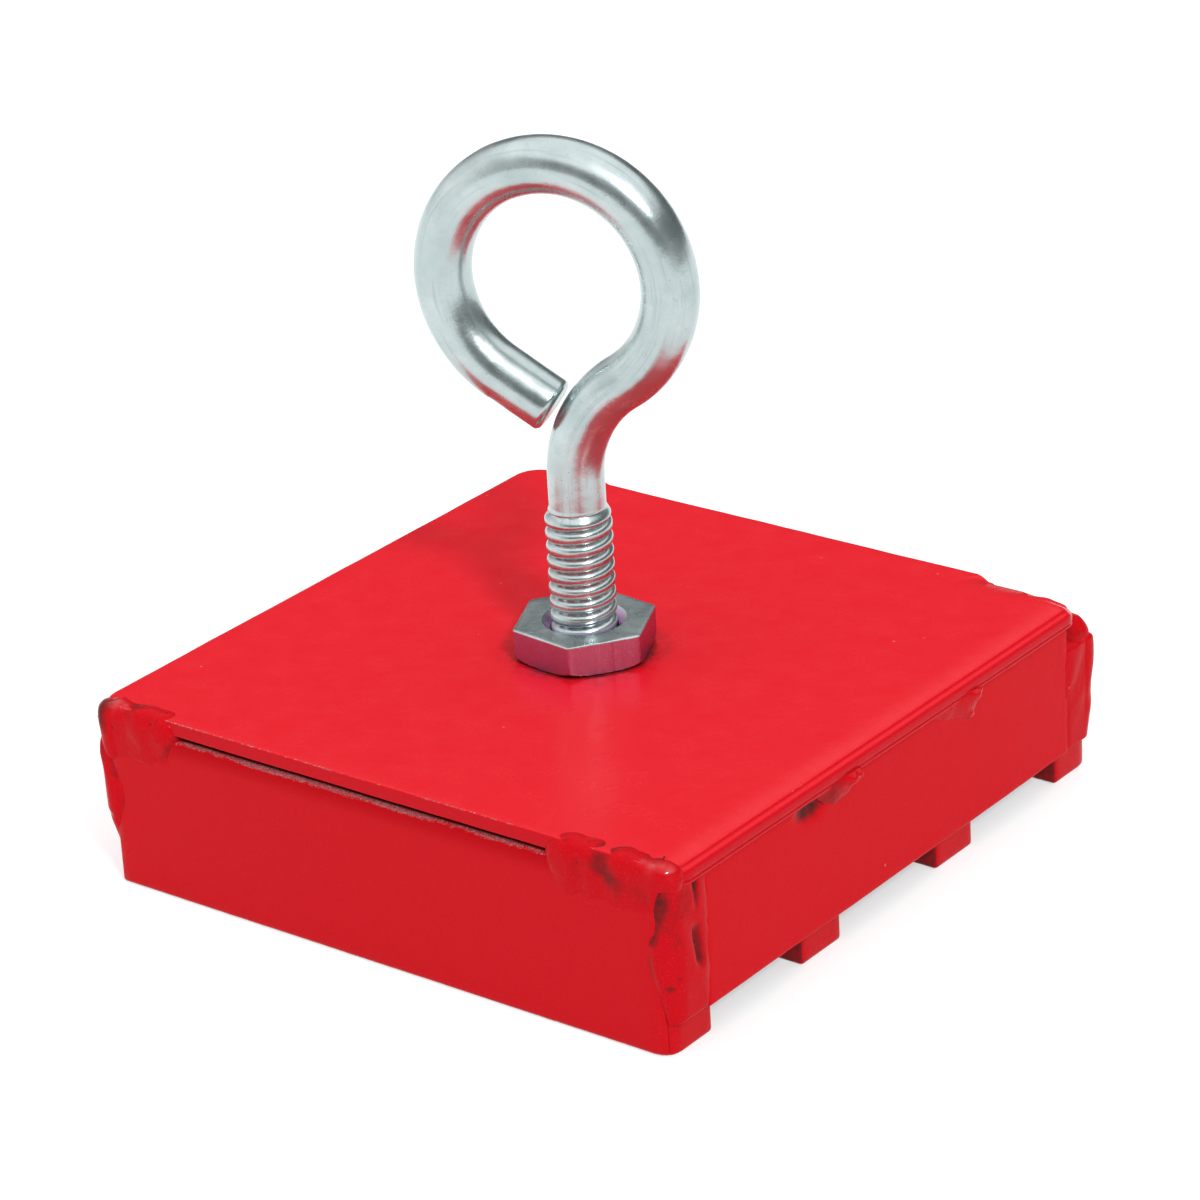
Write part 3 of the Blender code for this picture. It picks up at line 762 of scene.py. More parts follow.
# Cross-sections of the corner beads, as (distance out from the face, height) in mm. At the back the cover's
# edge stands further in, and at the back right it has melted down
FRONT_SEAM = (
    (-0.40, 9.7), (-0.02, 10.1), (0.03, 10.7), (0.09, 11.4), (0.18, 12.1), (0.26, 12.8), (0.24, 13.5),
    (0.06, 14.0), (-0.40, 14.25), (-0.95, 14.27), (-1.35, 14.20), (-1.70, 13.9), (-1.70, 12.9), (-1.1, 10.6),
)  # fmt: skip
LOW_BACK_SEAM = (
    (-0.35, 9.6), (0.00, 10.0), (0.10, 10.5), (0.08, 11.2), (-0.25, 11.9), (-0.8, 12.5), (-1.4, 13.0),
    (-2.0, 13.4), (-2.6, 13.7), (-3.2, 13.85), (-3.7, 13.8), (-3.4, 13.0), (-2.4, 11.8), (-1.2, 10.2),
)  # fmt: skip
HIGH_BACK_SEAM = (
    (-0.35, 9.6), (0.00, 10.0), (0.14, 10.6), (0.10, 11.5), (-0.20, 12.4), (-0.8, 13.2), (-1.4, 13.9),
    (-2.0, 14.35), (-2.6, 14.4), (-3.1, 14.28), (-3.4, 14.0), (-3.1, 13.0), (-2.4, 11.8), (-1.2, 10.2),
)  # fmt: skip


# Each corner bead: its section, how much its puddles rise and how far apart they are, how far it spreads over
# the cover at its start, middle and late on, and how much fuller it is on the corner
CORNER_STYLES = {
    "front_left": (FRONT_SEAM, (0.16, 0.30), (2.0, 3.0), (1.0, 1.0, 1.0), 0.44),
    "front_right": (FRONT_SEAM, (0.08, 0.26), (1.4, 2.4), (0.7, 1.25, 1.30), 0.06),
    "back_right": (LOW_BACK_SEAM, (0.03, 0.10), (1.8, 2.8), (1.0, 1.0, 1.0), 0.12),
    "back_left": (HIGH_BACK_SEAM, (0.05, 0.16), (1.6, 2.8), (1.0, 1.0, 1.0), 0.30),
}
FRONT_BEND, BACK_BEND = 1.5 * MM, 3.2 * MM
# Front (-1) and back (1): the bend of a corner bead's upper edge, how far the bead runs along the side, how
# deep its core lies, and its glassy spots as (x, size) in mm
SEAM_SIDES = {
    -1: (FRONT_BEND, 2.1 * MM, 0.7 * MM, ((24.9, 0.35), (24.3, 0.30), (23.7, 0.45), (22.8, 0.25))),
    1: (BACK_BEND, 3.3 * MM, 1.9 * MM, ((23.0, 0.4),)),
}
CORE_HEIGHT = 12.5 * MM
# At the front right the lower border rises this share of the way to LIFTED_TO, between two places in mm
LIFT_SHARE, LIFT_START, LIFT_END = 0.72, 22.6, 25.6
LIFTED_TO = 13.3 * MM
BEAD_STEP = 0.13 * MM


def evenly_along(path, length, count):
    """The path at count even steps: plan position and unit outward direction."""
    places = np.linspace(0, length[-1], count)
    even = np.column_stack([np.interp(places, length, path[:, i]) for i in range(4)])
    even[:, 2:] /= np.hypot(even[:, 2], even[:, 3])[:, None]
    return even


def puddle_row(rng, rises, spacing, length):
    """Puddles along a bead, as (place, how far it rises, how far its lower edge sags)."""
    puddles = [(0.55 * MM, rises[1] * 0.8 * MM, -0.30 * MM)]
    while puddles[-1][0] < length:
        place = puddles[-1][0] + rng.uniform(*spacing) * MM
        puddles.append((place, rng.uniform(*rises) * MM, rng.uniform(-0.30, 0.25) * MM))
    return puddles


def rounded_end(from_end, reach):
    """A bead's size, from 0 at its end to 1 at reach from it, along a quarter circle."""
    return math.sqrt(max(0.0, 1 - (1 - min(1.0, from_end / reach)) ** 2))


def build_corner_weld(corner, finish, seed):
    """The bead along the cover's edge and round its corner: run-together puddles that close the slit.

    At the front right its lower border rises round the corner, and the upright bead takes over there.
    """
    node = "corner_weld_" + corner
    side_x, side_y, low, high = corner_of(node)
    seam, rises, spacing, spread, fuller = CORNER_STYLES[corner]
    upper_bend, side_reach, core_depth, glassy = SEAM_SIDES[side_y]
    start = low.x if side_x > 0 else -high.x
    face = BACK_FACE if side_y > 0 else FRONT_FACE
    lower_path, length = corner_path(side_x, side_y, start, face - side_reach, FRONT_BEND, BEAD_STEP)
    upper_path, upper_length = corner_path(side_x, side_y, start, face - side_reach, upper_bend, BEAD_STEP)
    count, total = len(lower_path), length[-1]
    lower_path = evenly_along(lower_path, length, count)
    upper_path = evenly_along(upper_path, upper_length, count)
    section = resampled(seam, 60) * MM
    core = np.array((-core_depth, CORE_HEIGHT))
    puddles = puddle_row(random.Random(seed), rises, spacing, total)
    wide = 0.42 * sum(spacing) / 2 * MM
    lift_share = LIFT_SHARE if corner == "front_right" else 0.0
    rings = []
    for lower, upper, along in zip(lower_path, upper_path, np.linspace(0, total, count)):
        size = max(0.06, rounded_end(along, 2.0 * MM) * rounded_end(total - along, 1.4 * MM))
        swell = sum(rise * hump(along, spot, wide) for spot, rise, _ in puddles)
        sag = sum(drop * hump(along, spot, wide) for spot, _, drop in puddles)
        reach_in = np.interp(along / total, (0.0, 0.5, 0.8, 1.0), (*spread, 0.9))
        shape = section.copy()
        inward = shape[:, 0] < -0.3 * MM
        shape[inward, 0] = -0.3 * MM + (shape[inward, 0] + 0.3 * MM) * reach_in
        outline = core + (shape - core) * size
        radial = outline - core
        reach = np.maximum(np.hypot(*radial.T), 0.2 * MM)
        outline = outline + radial / reach[:, None] * (swell - 0.10 * MM) * size
        outline[:, 0] += fuller * MM * 2 * abs(lower[2] * lower[3]) * (outline[:, 0] > -0.4 * MM) * size
        sag += 0.28 * MM * wobble((along, 0.0, 0.0), 420.0, seed)
        round_corner = side_x * lower[0] / MM + 4.0 * abs(lower[2])
        lift = lift_share * smoothstep(LIFT_START, LIFT_END, round_corner)
        outline[:, 1] += sag * np.clip((12.6 * MM - outline[:, 1]) / (1.8 * MM), 0, 1)
        outline[:, 1] += (LIFTED_TO - outline[:, 1]).clip(0) * lift
        outline[:, 1] = np.minimum(outline[:, 1], COVER_TOP + 0.22 * MM)
        high_up = smoothstep(10.6 * MM, 13.6 * MM, outline[:, 1])[:, None]
        place = lower * (1 - high_up) + upper * high_up
        plan = place[:, :2] + place[:, 2:] * outline[:, :1]
        rings.append(np.column_stack((plan, outline[:, 1])))
    bead = loft("corner_bead_" + corner, rings)
    lumpiness = 0.25 + 0.75 * smoothstep(10.2 * MM, 12.2 * MM, points_of(bead)[:, 2])
    crest = face - 0.45 * MM
    wet_spots = [(np.array((side_x * x * MM, side_y * crest, 13.95 * MM)), size * MM) for x, size in glassy]
    return weld_skin(bead, finish, node, seed, 1.0, 0.0, 9, lumpiness, wet_spots)


# Down an upright bead, as (heights, values) in mm. Crease and ridge are how far round the corner the bead
# starts and is full. The rises are how far it stands out on the corner, the front and the side
UPRIGHT_CREASE = ((2.3, 3.2, 5.0, 5.9, 8.2, 11.0, 13.5), (1.9, 1.7, 1.1, 0.60, 0.15, 0.0, 0.5))
UPRIGHT_RIDGE = ((2.3, 5.0, 5.9, 7.6, 9.5, 11.5, 13.2), (1.9, 1.2, 0.8, 0.85, 1.6, 2.2, 1.9))
CORNER_RISE = ((2.3, 3.2, 4.2, 5.2, 8.2, 11.0), (-0.2, 0.0, 0.22, 0.46, 0.63, 0.80))
FRONT_RISE = ((3.2, 5.0, 11.0), (0.0, 0.08, 0.16))
SIDE_RISE = ((2.3, 2.65, 4.5, 6.0, 11.0), (-0.62, -0.04, 0.03, 0.06, 0.07))
SLOT_PLACE = ((5.8, 9.0), (5.05, 4.62))
UPRIGHT_BOTTOM = 2.3
# Each upright bead: its top, and its rise on the corner as a share of CORNER_RISE
UPRIGHT_STYLES = {
    "front_left": (13.5, 1.0),
    "front_right": (13.7, 0.12),
    "back_right": (11.2, 0.62),
    "back_left": (11.2, 1.0),
}


def upright_rise(z, path, along, bulge, ridge, seed):
    """How far an upright bead stands out at one height, round the corner, in mm."""
    side_rise = np.interp(z, *SIDE_RISE)
    flat_rise = np.where(np.abs(path[:, 3]) > 0.7, np.interp(z, *FRONT_RISE), side_rise)
    cornerness = 2 * np.abs(path[:, 2] * path[:, 3])
    rise = flat_rise + (np.interp(z, *CORNER_RISE) * bulge - flat_rise) * cornerness
    rise = rise + 0.04 * np.sin(1.9 * along + 1.3 * z + seed) * smoothstep(4.0, 6.0, z)
    on_ridge = smoothstep(ridge - 0.4, ridge + 0.8, along)
    hollow_rise = -0.10 * smoothstep(8.0, 9.5, z)
    lift = rise + (hollow_rise - rise) * (1 - on_ridge)
    feather = smoothstep(0.0, 2.2, along[-1] - along)
    return np.minimum(lift, side_rise) + (lift - np.minimum(lift, side_rise)) * feather


def upright_scars(z, shifted, along, scarred):
    """Hollows in an upright bead at one height: a long slot, a nick above it and a small spot."""
    slot = hump(along, np.interp(z, *SLOT_PLACE), 0.34) * smoothstep(5.6, 6.8, shifted)
    slot *= scarred * (1 - smoothstep(8.2, 9.6, shifted))
    nick = hump(along, 4.75, 0.22) * smoothstep(9.8, 12.2, z) * scarred
    spot = hump(along, 2.2, 0.34) * hump(shifted, 5.25, 0.28)
    return slot, nick, spot


def build_upright_weld(corner, finish, seed):
    """The bead down the corner, lapping the side sheet. The front two also have a slot and hollows, darkened
    with painted shade.
    """
    node = "upright_weld_" + corner
    side_x, side_y, _, _ = corner_of(node)
    top, bulge = UPRIGHT_STYLES[corner]
    face = BACK_FACE if side_y > 0 else FRONT_FACE
    side_end = face - 4.35 * MM
    path, length = corner_path(side_x, side_y, SIDE_FACE - 2.7 * MM, side_end, FRONT_BEND, 0.10 * MM)
    along = length / MM
    rng = random.Random(seed)
    shift = 0.0 if corner == "front_right" else rng.uniform(-0.7, 0.7)
    scarred = 1.0 if side_y < 0 else 0.0
    rings, shade_rings = [], []
    for z in np.linspace(UPRIGHT_BOTTOM, top, 100):
        shifted = z + shift
        crease = np.interp(shifted, *UPRIGHT_CREASE)
        ridge = np.interp(shifted, *UPRIGHT_RIDGE) + 0.08 * math.sin(2.1 * z + seed)
        border = np.minimum(along - crease, along[-1] - along)
        closing = smoothstep(UPRIGHT_BOTTOM, UPRIGHT_BOTTOM + 0.2, z) * (1 - smoothstep(top - 0.7, top, z))
        slot, nick, spot = upright_scars(z, shifted, along, scarred)
        lift = upright_rise(z, path, along, bulge, ridge, seed)
        lift = lift - 0.34 * slot - 0.30 * nick - 0.12 * spot - 0.12 * (1 - smoothstep(0.0, 1.0, border))
        lift = (lift - 0.65 * (1 - smoothstep(-0.35, 0.12, border)) - 0.85 * (1 - closing)) * MM
        outer = path[:, :2] + path[:, 2:] * lift[:, None]
        inner = (path[:, :2] - path[:, 2:] * 1.15 * MM)[::-4]
        # Painted shade in the slot, the nick, the small spot, the hollow off the ridge and the crease
        off_ridge = 1 - smoothstep(ridge - 0.4, ridge + 0.8, along)
        hollow = 0.8 * scarred * off_ridge * smoothstep(7.6, 8.8, shifted) * (along > crease)
        in_crease = 0.75 * smoothstep(5.0, 6.2, shifted) * hump(along, crease + 0.30, 0.26)
        scar_shade = np.maximum.reduce((0.85 * slot**0.45, nick**0.5, 0.8 * spot, hollow, in_crease))
        loop = np.vstack((outer, inner))
        rings.append(np.column_stack((loop, np.full(len(loop), z * MM))))
        shade_rings.append(np.concatenate((scar_shade, np.zeros(len(inner)))))
    painted_shade = np.concatenate((*shade_rings, (0.0, 0.0)))
    bead = loft("upright_bead_" + corner, rings)
    heights, depths = points_of(bead)[:, 2], np.abs(points_of(bead)[:, 1])
    lumpiness = smoothstep(3.5 * MM, 6.0 * MM, heights)
    lumpiness *= smoothstep(side_end + 0.05 * MM, face - 3.0 * MM, depths)
    return weld_skin(bead, finish, node, seed, 0.5, painted_shade, 3, lumpiness)


# Tack welds along Y in mm: (y, height of the lower edge, how far it bulges), then drops as (y, height, size)
TACK_SHAPES = {
    1: (
        ((-9.4, 12.3, 0.0), (-8.6, 11.5, 0.05), (-7.6, 11.0, 0.20), (-6.0, 11.1, 0.32), (-4.9, 11.5, 0.34)),
        (-4.3, 12.3, 0.05),
        ((-5.6, 12.30, 0.42), (-4.85, 12.35, 0.34)),
    ),
    2: (
        ((4.8, 12.3, 0.0), (6.0, 11.6, 0.10), (7.5, 11.2, 0.16), (8.9, 10.6, 0.24), (10.0, 10.9, 0.30)),
        (10.7, 12.3, 0.05),
        ((9.8, 12.35, 0.40), (10.5, 12.40, 0.28), (9.5, 10.75, 0.38)),
    ),
}


def build_side_tack(side, number, finish, seed):
    """A tack under the lip: a low puddle with a few round drops at its back end."""
    node = f"side_tack_{side}_{number}"
    side_x, _, _, _ = corner_of(node)
    stations, end, drops = TACK_SHAPES[number]
    # Painted shade over the first tack's hollow end
    tack_hollow_shade = 0.55 if number == 1 else 0.12
    places, bottoms, bulges = np.array((*stations, end)).T
    down = np.linspace(0, 1, 30)
    top = LIP_BOTTOM / MM + 0.30
    rings, shade_rings = [], []
    for y in np.linspace(places[0], places[-1], 80):
        bottom = np.interp(y, places, bottoms) - 0.03 * math.sin(5.0 * y + seed)
        bulge = np.interp(y, places, bulges)
        z = top - (top - bottom) * down
        out = 0.20 * (1 - down) ** 1.5 + bulge * np.sin(math.pi * down**0.75) ** 0.8 - 0.06 * down
        for drop_y, drop_z, size in drops:
            away = ((y - drop_y) ** 2 + (z - drop_z) ** 2) / size**2
            out = out + size * 0.75 * np.exp(-(away**1.5))
        back = np.column_stack((np.full(8, -0.40), np.linspace(bottom, top, 8)))
        outline = np.vstack((np.column_stack((out, z)), back)) * MM
        x = side_x * (SIDE_FACE + outline[:, 0])
        rings.append(np.column_stack((x, np.full(len(x), y * MM), outline[:, 1])))
        # Painted shade along the tack's lower rim and over its hollow end
        rim = hump(down, 1.0, 0.10) * 0.6
        rim = np.maximum(rim, tack_hollow_shade * (1 - smoothstep(places[0] + 1.5, places[-1] - 1.2, y)))
        shade_rings.append(np.concatenate((rim, np.zeros(8))))
    painted_shade = np.concatenate((*shade_rings, (0.0, 0.0)))
    wet_spots = [(np.array((side_x * (SIDE_FACE + 0.3 * MM), y * MM, z * MM)), 0.3 * MM) for y, z, _ in drops]
    return weld_skin(loft(f"tack_{side}_{number}", rings), finish, node, seed, 0.35, painted_shade, 1, 1.0, wet_spots)


# ---------------------------------------------------------------- eyebolt and nuts


def place_on_bolt(piece, turn):
    """Moves a piece made round the origin to the bolt's axis, turned about it."""
    piece.data.transform(Matrix.Translation((BOLT_X, BOLT_Y, 0.0)) @ Matrix.Rotation(turn, 4, "Z"))


def thread_radius(z, angles, bottom):
    """Radius of the threaded stretch at height z for each angle: a right-hand thread with broad crests."""
    strength = smoothstep(bottom, bottom + 0.9 * MM, z)
    strength *= 1 - smoothstep(THREAD_TOP - 1.0 * MM, THREAD_TOP, z)
    phase = (z / THREAD_PITCH - angles / (2 * math.pi)) % 1.0
    from_crest = np.abs(phase - 0.5) * 2
    crest = np.clip(1 - from_crest**2.6, 0, 1) ** 0.62
    full = THREAD_ROOT + (THREAD_RADIUS - THREAD_ROOT) * crest
    plain = WIRE_RADIUS - 0.35 * MM * (1 - smoothstep(bottom, bottom + 0.6 * MM, z))
    return plain + (full - WIRE_RADIUS) * strength


def round_eye(angle):
    """Outward and onward unit vectors at an angle in the eye's plane."""
    outward = np.array((math.cos(angle), 0.0, math.sin(angle)))
    return outward, np.array((-outward[2], 0.0, outward[0]))


STEPS_PER_THREAD, NECK_STEPS, EYE_STEPS, TAIL_STEPS = 14, 40, 220, 24


def eyebolt_line(bottom):
    """Stations up the bolt as (point, direction, place). place is a part of the rod and how far along it."""
    up = np.array((0.0, 0.0, 1.0))
    neck_span = EYE_RADIUS + NECK_RADIUS
    neck_height = EYE_HEIGHT - math.sqrt(neck_span**2 - (NECK_RADIUS - EYE_OFFSET) ** 2)
    stations = []
    steps = int((neck_height - bottom) / (THREAD_PITCH / STEPS_PER_THREAD))
    for step in range(steps):
        z = bottom + (neck_height - bottom) * step / steps
        stations.append((np.array((0.0, 0.0, z)), up, ("shank", z)))
    eye_centre = np.array((EYE_OFFSET, 0.0, EYE_HEIGHT))
    neck_centre = np.array((NECK_RADIUS, 0.0, neck_height))
    to_eye = eye_centre - neck_centre
    neck_end = math.atan2(to_eye[2], to_eye[0])
    for step in range(NECK_STEPS):
        radial, onwards = round_eye(math.pi + (neck_end - math.pi) * step / NECK_STEPS)
        stations.append((neck_centre + NECK_RADIUS * radial, -onwards, ("neck", step / NECK_STEPS)))
    eye_start = neck_end - math.pi
    for step in range(EYE_STEPS + 1):
        radial, onwards = round_eye(eye_start + (EYE_ARC_END - eye_start) * step / EYE_STEPS)
        stations.append((eye_centre + EYE_RADIUS * radial, onwards, ("eye", step / EYE_STEPS)))
    last = stations[-1][0]
    for step in range(1, TAIL_STEPS + 1):
        along = step / TAIL_STEPS
        stations.append((last + EYE_TAIL * along * onwards, onwards, ("tail", along)))
    return stations


def rod_radius(place, angles, bottom):
    """Radius round the rod at one station, with the small flats and dents that bending leaves."""
    kind, along = place
    if kind == "shank":
        return thread_radius(along, angles, bottom)
    radius = np.full(len(angles), WIRE_RADIUS)
    if kind == "tail":
        outer_side = np.cos(angles) > 0.35
        pinch = 0.10 * MM * smoothstep(0.02, 0.10, along)
        radius = radius - pinch * outer_side * (np.cos(angles) - 0.35)
        radius = radius - 0.22 * MM * smoothstep(0.93, 1.0, along) ** 2
    return radius


def build_eyebolt(finish):
    """The whole rod as one skin. It stores the straightened wire's coordinates, for the draw lines."""
    sides = 56
    bottom = EYE_LOW.z
    angles = np.linspace(0, 2 * math.pi, sides, endpoint=False)
    across = np.array((0.0, 1.0, 0.0))
    unrolled = np.column_stack((np.cos(angles), np.sin(angles))) * WIRE_RADIUS
    rings, space, length = [], [], 0.0
    stations = eyebolt_line(bottom)
    previous = stations[0][0]
    for point, direction, place in stations:
        sideways = np.cross(across, direction)
        radius = rod_radius(place, angles, bottom)
        offset = np.outer(np.cos(angles), sideways) + np.outer(np.sin(angles), across)
        rings.append(point + offset * radius[:, None])
        length += float(np.linalg.norm(point - previous))
        previous = point
        space.append(np.column_stack((unrolled, np.full(sides, length))))
    piece = loft("eyebolt_rod", rings, (stations[0][0], stations[-1][0]))
    wire_space = np.vstack((*space, (0.0, 0.0, 0.0), (0.0, 0.0, length)))
    attribute = piece.data.attributes.new("wire_space", "FLOAT_VECTOR", "POINT")
    attribute.data.foreach_set("vector", wire_space.astype(np.float32).ravel())
    roughen(piece, [(0.016 * MM, 330.0, 2.0), (0.007 * MM, 1500.0, 6.0)])
    place_on_bolt(piece, EYE_TURN)
    return finish_piece(piece, finish, "eyebolt", "eyebolt", math.radians(50.0))


def polygon_radius(angles, sides, apothem, sharpness=70.0):
    """Radius of a regular polygon with slightly rounded corners, one of them at angle 0."""
    total = np.zeros(len(angles))
    for side in range(sides):
        facing = np.cos(angles - math.pi * (2 * side + 1) / sides)
        total += np.clip(facing, 0, None) ** sharpness
    return apothem / total ** (1 / sharpness)


def nut_piece(name, sides, apothem, low_z, high_z, under_drop, score=None):
    """A nut from rings stacked round its outside, over its top, down its bore and back."""
    count = 360
    angles = np.linspace(0, 2 * math.pi, count, endpoint=False)
    flat = polygon_radius(angles, sides, apothem)
    if score is not None:
        flat = flat + score(angles)
    height = high_z - low_z
    rings = []

    def add_ring(radius, z):
        radius = np.broadcast_to(radius, angles.shape)
        rings.append(np.column_stack((radius * np.cos(angles), radius * np.sin(angles), np.full(count, z))))

    seat = apothem * 0.955
    add_ring(seat * 0.9, low_z)
    for share in np.linspace(0, 1, 9):
        cone = seat + (flat.max() * 1.01 - seat) * math.sin(share * math.pi / 2) ** 0.9
        add_ring(np.minimum(flat, cone), low_z + under_drop * share**1.6)
    for share in (0.45, 0.6, 0.75, 0.88, 0.94):
        add_ring(flat, low_z + max(under_drop * 1.02, height * share))
    rim = 0.09 * MM
    for share in (0.0, 0.35, 0.7, 1.0):
        angle = share * math.pi / 2
        add_ring(flat - rim * (1 - math.cos(angle)), high_z - rim * (1 - math.sin(angle)))
    for share in (0.15, 0.45, 0.75, 0.92, 1.0):
        add_ring((flat - rim) * (1 - share) + NUT_COUNTERSINK * share, high_z)
    depth = (NUT_COUNTERSINK - NUT_BORE) * 0.95
    for share in (0.12, 0.5, 1.0):
        add_ring(NUT_COUNTERSINK + (NUT_BORE - NUT_COUNTERSINK) * share, high_z - depth * share - 0.01 * MM)
    for z in (high_z - depth * 1.4, (high_z + low_z) / 2, low_z + 0.25 * MM, low_z):
        add_ring(NUT_BORE + (0.2 * MM if z == low_z else 0.0), z)
    piece = mesh_object(name, np.vstack(rings), ring_faces(len(rings), count, True))
    face_outwards(piece)
    return piece


SCORED_FLAT, NEXT_FLAT = 4, 3  # flats of the jam nut, counted round from its first corner


def nut_score(angles):
    """Tool marks across one flat of the nut: a shallow step between two upright lines."""
    share = (angles - math.radians(60.0 * SCORED_FLAT)) / math.radians(60.0)
    band = smoothstep(0.385, 0.40, share) * (1 - smoothstep(0.63, 0.645, share))
    groove = hump(share, 0.395, 0.012) + hump(share, 0.64, 0.012)
    return 0.030 * MM * band - 0.022 * MM * groove


def build_jam_nut(finish):
    """The hexagon nut, with violet painted shade on its flats: little on the scored flat, more on its
    neighbour, most elsewhere, more towards the bottom.
    """
    piece = nut_piece("hex_nut", 6, NUT_APOTHEM, COVER_TOP + 0.02 * MM, NUT_HIGH.z, 0.62 * MM, nut_score)
    roughen(piece, [(0.012 * MM, 500.0, 8.0), (0.006 * MM, 1700.0, 4.0)])
    points = points_of(piece)
    flat = np.floor(np.degrees(np.arctan2(points[:, 1], points[:, 0])) / 60.0) % 6
    low_down = 1 - smoothstep(NUT_LOW.z, NUT_HIGH.z, points[:, 2])
    # Painted shade: each flat is darkened by its own amount, more towards the bottom
    flat_shade = np.where(flat == SCORED_FLAT, 0.12, np.where(flat == NEXT_FLAT, 0.55, 0.75)) + 0.18 * low_down
    set_values(piece, "flat_shade", flat_shade * (np.hypot(points[:, 0], points[:, 1]) > NUT_COUNTERSINK * 1.2))
    place_on_bolt(piece, NUT_TURN)
    return finish_piece(piece, finish, "jam_nut", "jam_nut", math.radians(24.0))


def build_captive_nut(finish):
    half = (CAPTIVE_HIGH.x - CAPTIVE_LOW.x) / 2
    piece = nut_piece("square_nut", 4, half, CAPTIVE_LOW.z, CAPTIVE_HIGH.z, 0.45 * MM)
    place_on_bolt(piece, math.pi / 4)
    return finish_piece(piece, finish, BLOCK, "captive_nut", math.radians(30.0))


# ---------------------------------------------------------------- studio

CAMERA_AZIMUTH = 0.671
CAMERA_ELEVATION = 0.4180
CAMERA_ROLL = -0.05707
CAMERA_DISTANCE = 0.333864
CAMERA_RISE = 0.01639
CAMERA_SHIFT_LEFT = 0.00032
CAMERA_LENS = 137.56
CAMERA_SENSOR = 36.0
CAMERA_AIM_Y = COVER_LOW.y / 2 + COVER_HIGH.y / 2
KEY_AZIMUTH = math.radians(60.0)
KEY_ELEVATION = math.radians(40.0)
HORIZON_DARK = 0.10
WALL_AZIMUTH = math.radians(-62.0)
WALL_BRIGHTNESS = 1.5
WORLD_STRENGTH = 1.34
KEY_STRENGTH = 1.6
KEY_SPREAD = math.radians(9.0)
FLOOR_HALF = 3.0
FLOOR_GLOW = 0.45


def direction_from(azimuth, elevation):
    """Unit vector towards a viewer at that azimuth and elevation. Azimuth 0 is at -Y."""
    level = math.cos(elevation)
    return Vector((math.sin(azimuth) * level, -math.cos(azimuth) * level, math.sin(elevation)))


def build_camera():
    back = direction_from(CAMERA_AZIMUTH, CAMERA_ELEVATION)
    level_right = (-back).cross(Vector((0, 0, 1))).normalized()
    level_up = level_right.cross(-back)
    right = level_right * math.cos(CAMERA_ROLL) + level_up * math.sin(CAMERA_ROLL)
    up = level_up * math.cos(CAMERA_ROLL) - level_right * math.sin(CAMERA_ROLL)
    data = bpy.data.cameras.new("camera")
    data.lens = CAMERA_LENS
    data.sensor_width = CAMERA_SENSOR
    data.clip_start = 0.01
    camera = bpy.data.objects.new("camera", data)
    camera.location = back * CAMERA_DISTANCE + up * CAMERA_RISE - right * CAMERA_SHIFT_LEFT
    camera.location.y += CAMERA_AIM_Y
    camera.rotation_mode = "QUATERNION"
    turn = Matrix((right, up, back)).transposed()
    camera.rotation_quaternion = turn.to_quaternion()
    bpy.context.scene.collection.objects.link(camera)
    bpy.context.scene.camera = camera


def build_floor():
    corners = [(x * FLOOR_HALF, y * FLOOR_HALF, 0) for x, y in ((-1, -1), (1, -1), (1, 1), (-1, 1))]
    floor = mesh_object("floor", corners, [(0, 1, 2, 3)])
    floor.location.z = -0.03 * MM
    s = Shader("floor_card")
    s.set(Roughness=0.85, Specular_IOR_Level=0.1, Emission_Color=(0.985, 1.0, 1.0, 1.0))
    s.set(Emission_Strength=FLOOR_GLOW)
    tone = s.mix(s.noise(40.0, 2.0), (0.59, 0.60, 0.60), (0.61, 0.62, 0.62))
    floor.data.materials.append(s.out(Base_Color=tone))


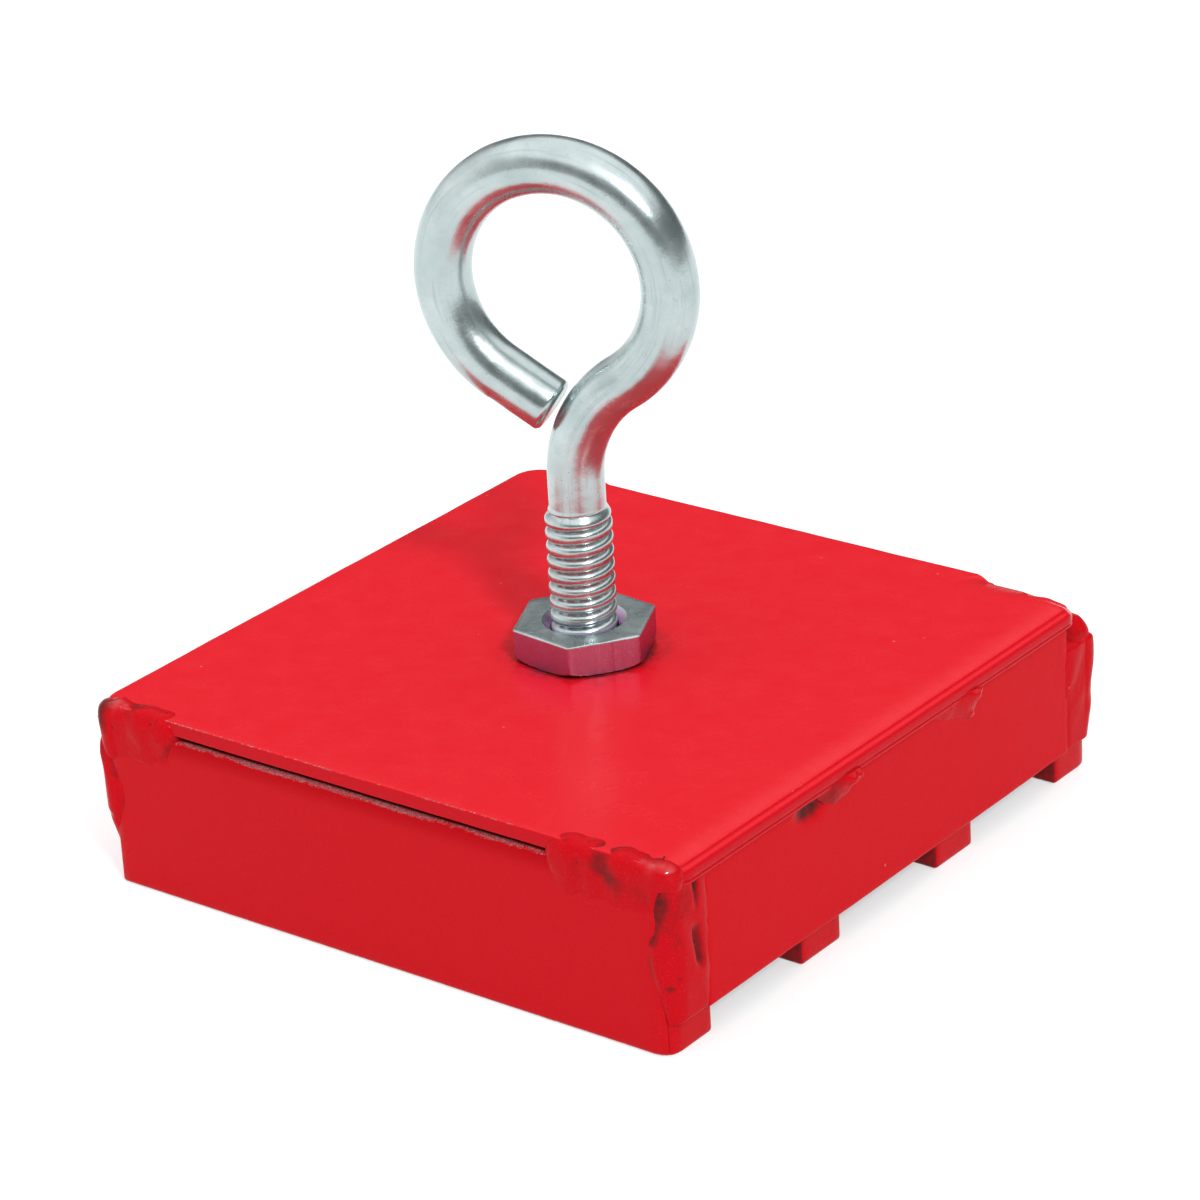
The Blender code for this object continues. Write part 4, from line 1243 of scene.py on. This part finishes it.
def build_world():
    """A studio dome: bright overhead, dark round the horizon except for a pale wall on the left."""
    world = bpy.data.worlds.new("studio")
    world.use_nodes = True
    tree = world.node_tree
    parts = add_node(tree, "SeparateXYZ", Vector=add_node(tree, "TexCoord").outputs["Generated"])
    ramp = add_node(tree, "ValToRGB", Fac=parts.outputs["Z"])
    ramp.color_ramp.interpolation = "EASE"
    first, last = ramp.color_ramp.elements
    first.position, first.color = 0.44, (HORIZON_DARK, HORIZON_DARK * 1.08, HORIZON_DARK * 1.1, 1)
    last.position, last.color = 0.68, (1.0, 1.0, 1.0, 1)
    wall = direction_from(WALL_AZIMUTH, 0.0)
    east = maths_node(tree, "MULTIPLY", parts.outputs["X"], wall.x)
    north = maths_node(tree, "MULTIPLY", parts.outputs["Y"], wall.y)
    facing = maths_node(tree, "SUBTRACT", maths_node(tree, "ADD", east, north), 0.35, True)
    glow = maths_node(tree, "MULTIPLY", facing, WALL_BRIGHTNESS)
    grey = add_node(tree, "CombineXYZ", X=glow, Y=glow, Z=glow)
    brightest = add_node(tree, "VectorMath", {"operation": "MAXIMUM"})
    fill(tree, brightest.inputs[0], ramp.outputs["Color"])
    fill(tree, brightest.inputs[1], grey.outputs["Vector"])
    background = tree.nodes["Background"].inputs
    fill(tree, background["Color"], brightest.outputs["Vector"])
    fill(tree, background["Strength"], WORLD_STRENGTH)
    bpy.context.scene.world = world


def build_key_light():
    data = bpy.data.lights.new("key", "SUN")
    data.energy = KEY_STRENGTH
    data.angle = KEY_SPREAD
    key = bpy.data.objects.new("key", data)
    towards = direction_from(KEY_AZIMUTH, KEY_ELEVATION)
    key.rotation_mode = "QUATERNION"
    key.rotation_quaternion = towards.to_track_quat("Z", "Y")
    bpy.context.scene.collection.objects.link(key)


# ---------------------------------------------------------------- the whole magnet


def build_magnet():
    cover_paint = paint_finish("cover_paint", PAINT, gloss=0.18, polish=1.2)
    case_paint = paint_finish("case_paint", CASE_PAINT, gloss=0.03)
    pole_paint = paint_finish("pole_paint", PLATE_PAINT, gloss=0.055, bare_below=0.12 * MM)
    weld_paint = paint_finish("weld_paint", WELD_PAINT, gloss=0.035, peel=0.8, polish=0.8)
    ferrite = ferrite_finish("ferrite")
    build_cover(cover_paint)
    build_side_plate("side_sheet_left", "side_plate_left", case_paint, 11.0)
    build_side_plate("side_sheet_right", "side_plate_right", case_paint, 15.0)
    for number in (1, 2, 3, 4):
        build_pole_plate(number, pole_paint)
    for seed, node in enumerate(sorted(n for n in frame["nodes"] if n.startswith("ferrite"))):
        build_ferrite(node, ferrite, 3.0 * seed)
    for seed, corner in enumerate(("front_left", "front_right", "back_right", "back_left")):
        build_corner_weld(corner, weld_paint, 20 + seed)
        build_upright_weld(corner, weld_paint, 40 + seed)
    for seed, (side, number) in enumerate((s, n) for s in ("left", "right") for n in (1, 2)):
        build_side_tack(side, number, weld_paint, 60 + seed)
    build_captive_nut(zinc_finish("plain_steel"))
    build_eyebolt(zinc_finish("zinc_wire", along="wire_space"))
    build_jam_nut(zinc_finish("zinc_nut", violet_below=NUT_HIGH.z - 0.12 * MM))


build_camera()
build_world()
build_key_light()
build_floor()
build_magnet()
bpy.context.scene.view_settings.view_transform = "Standard"
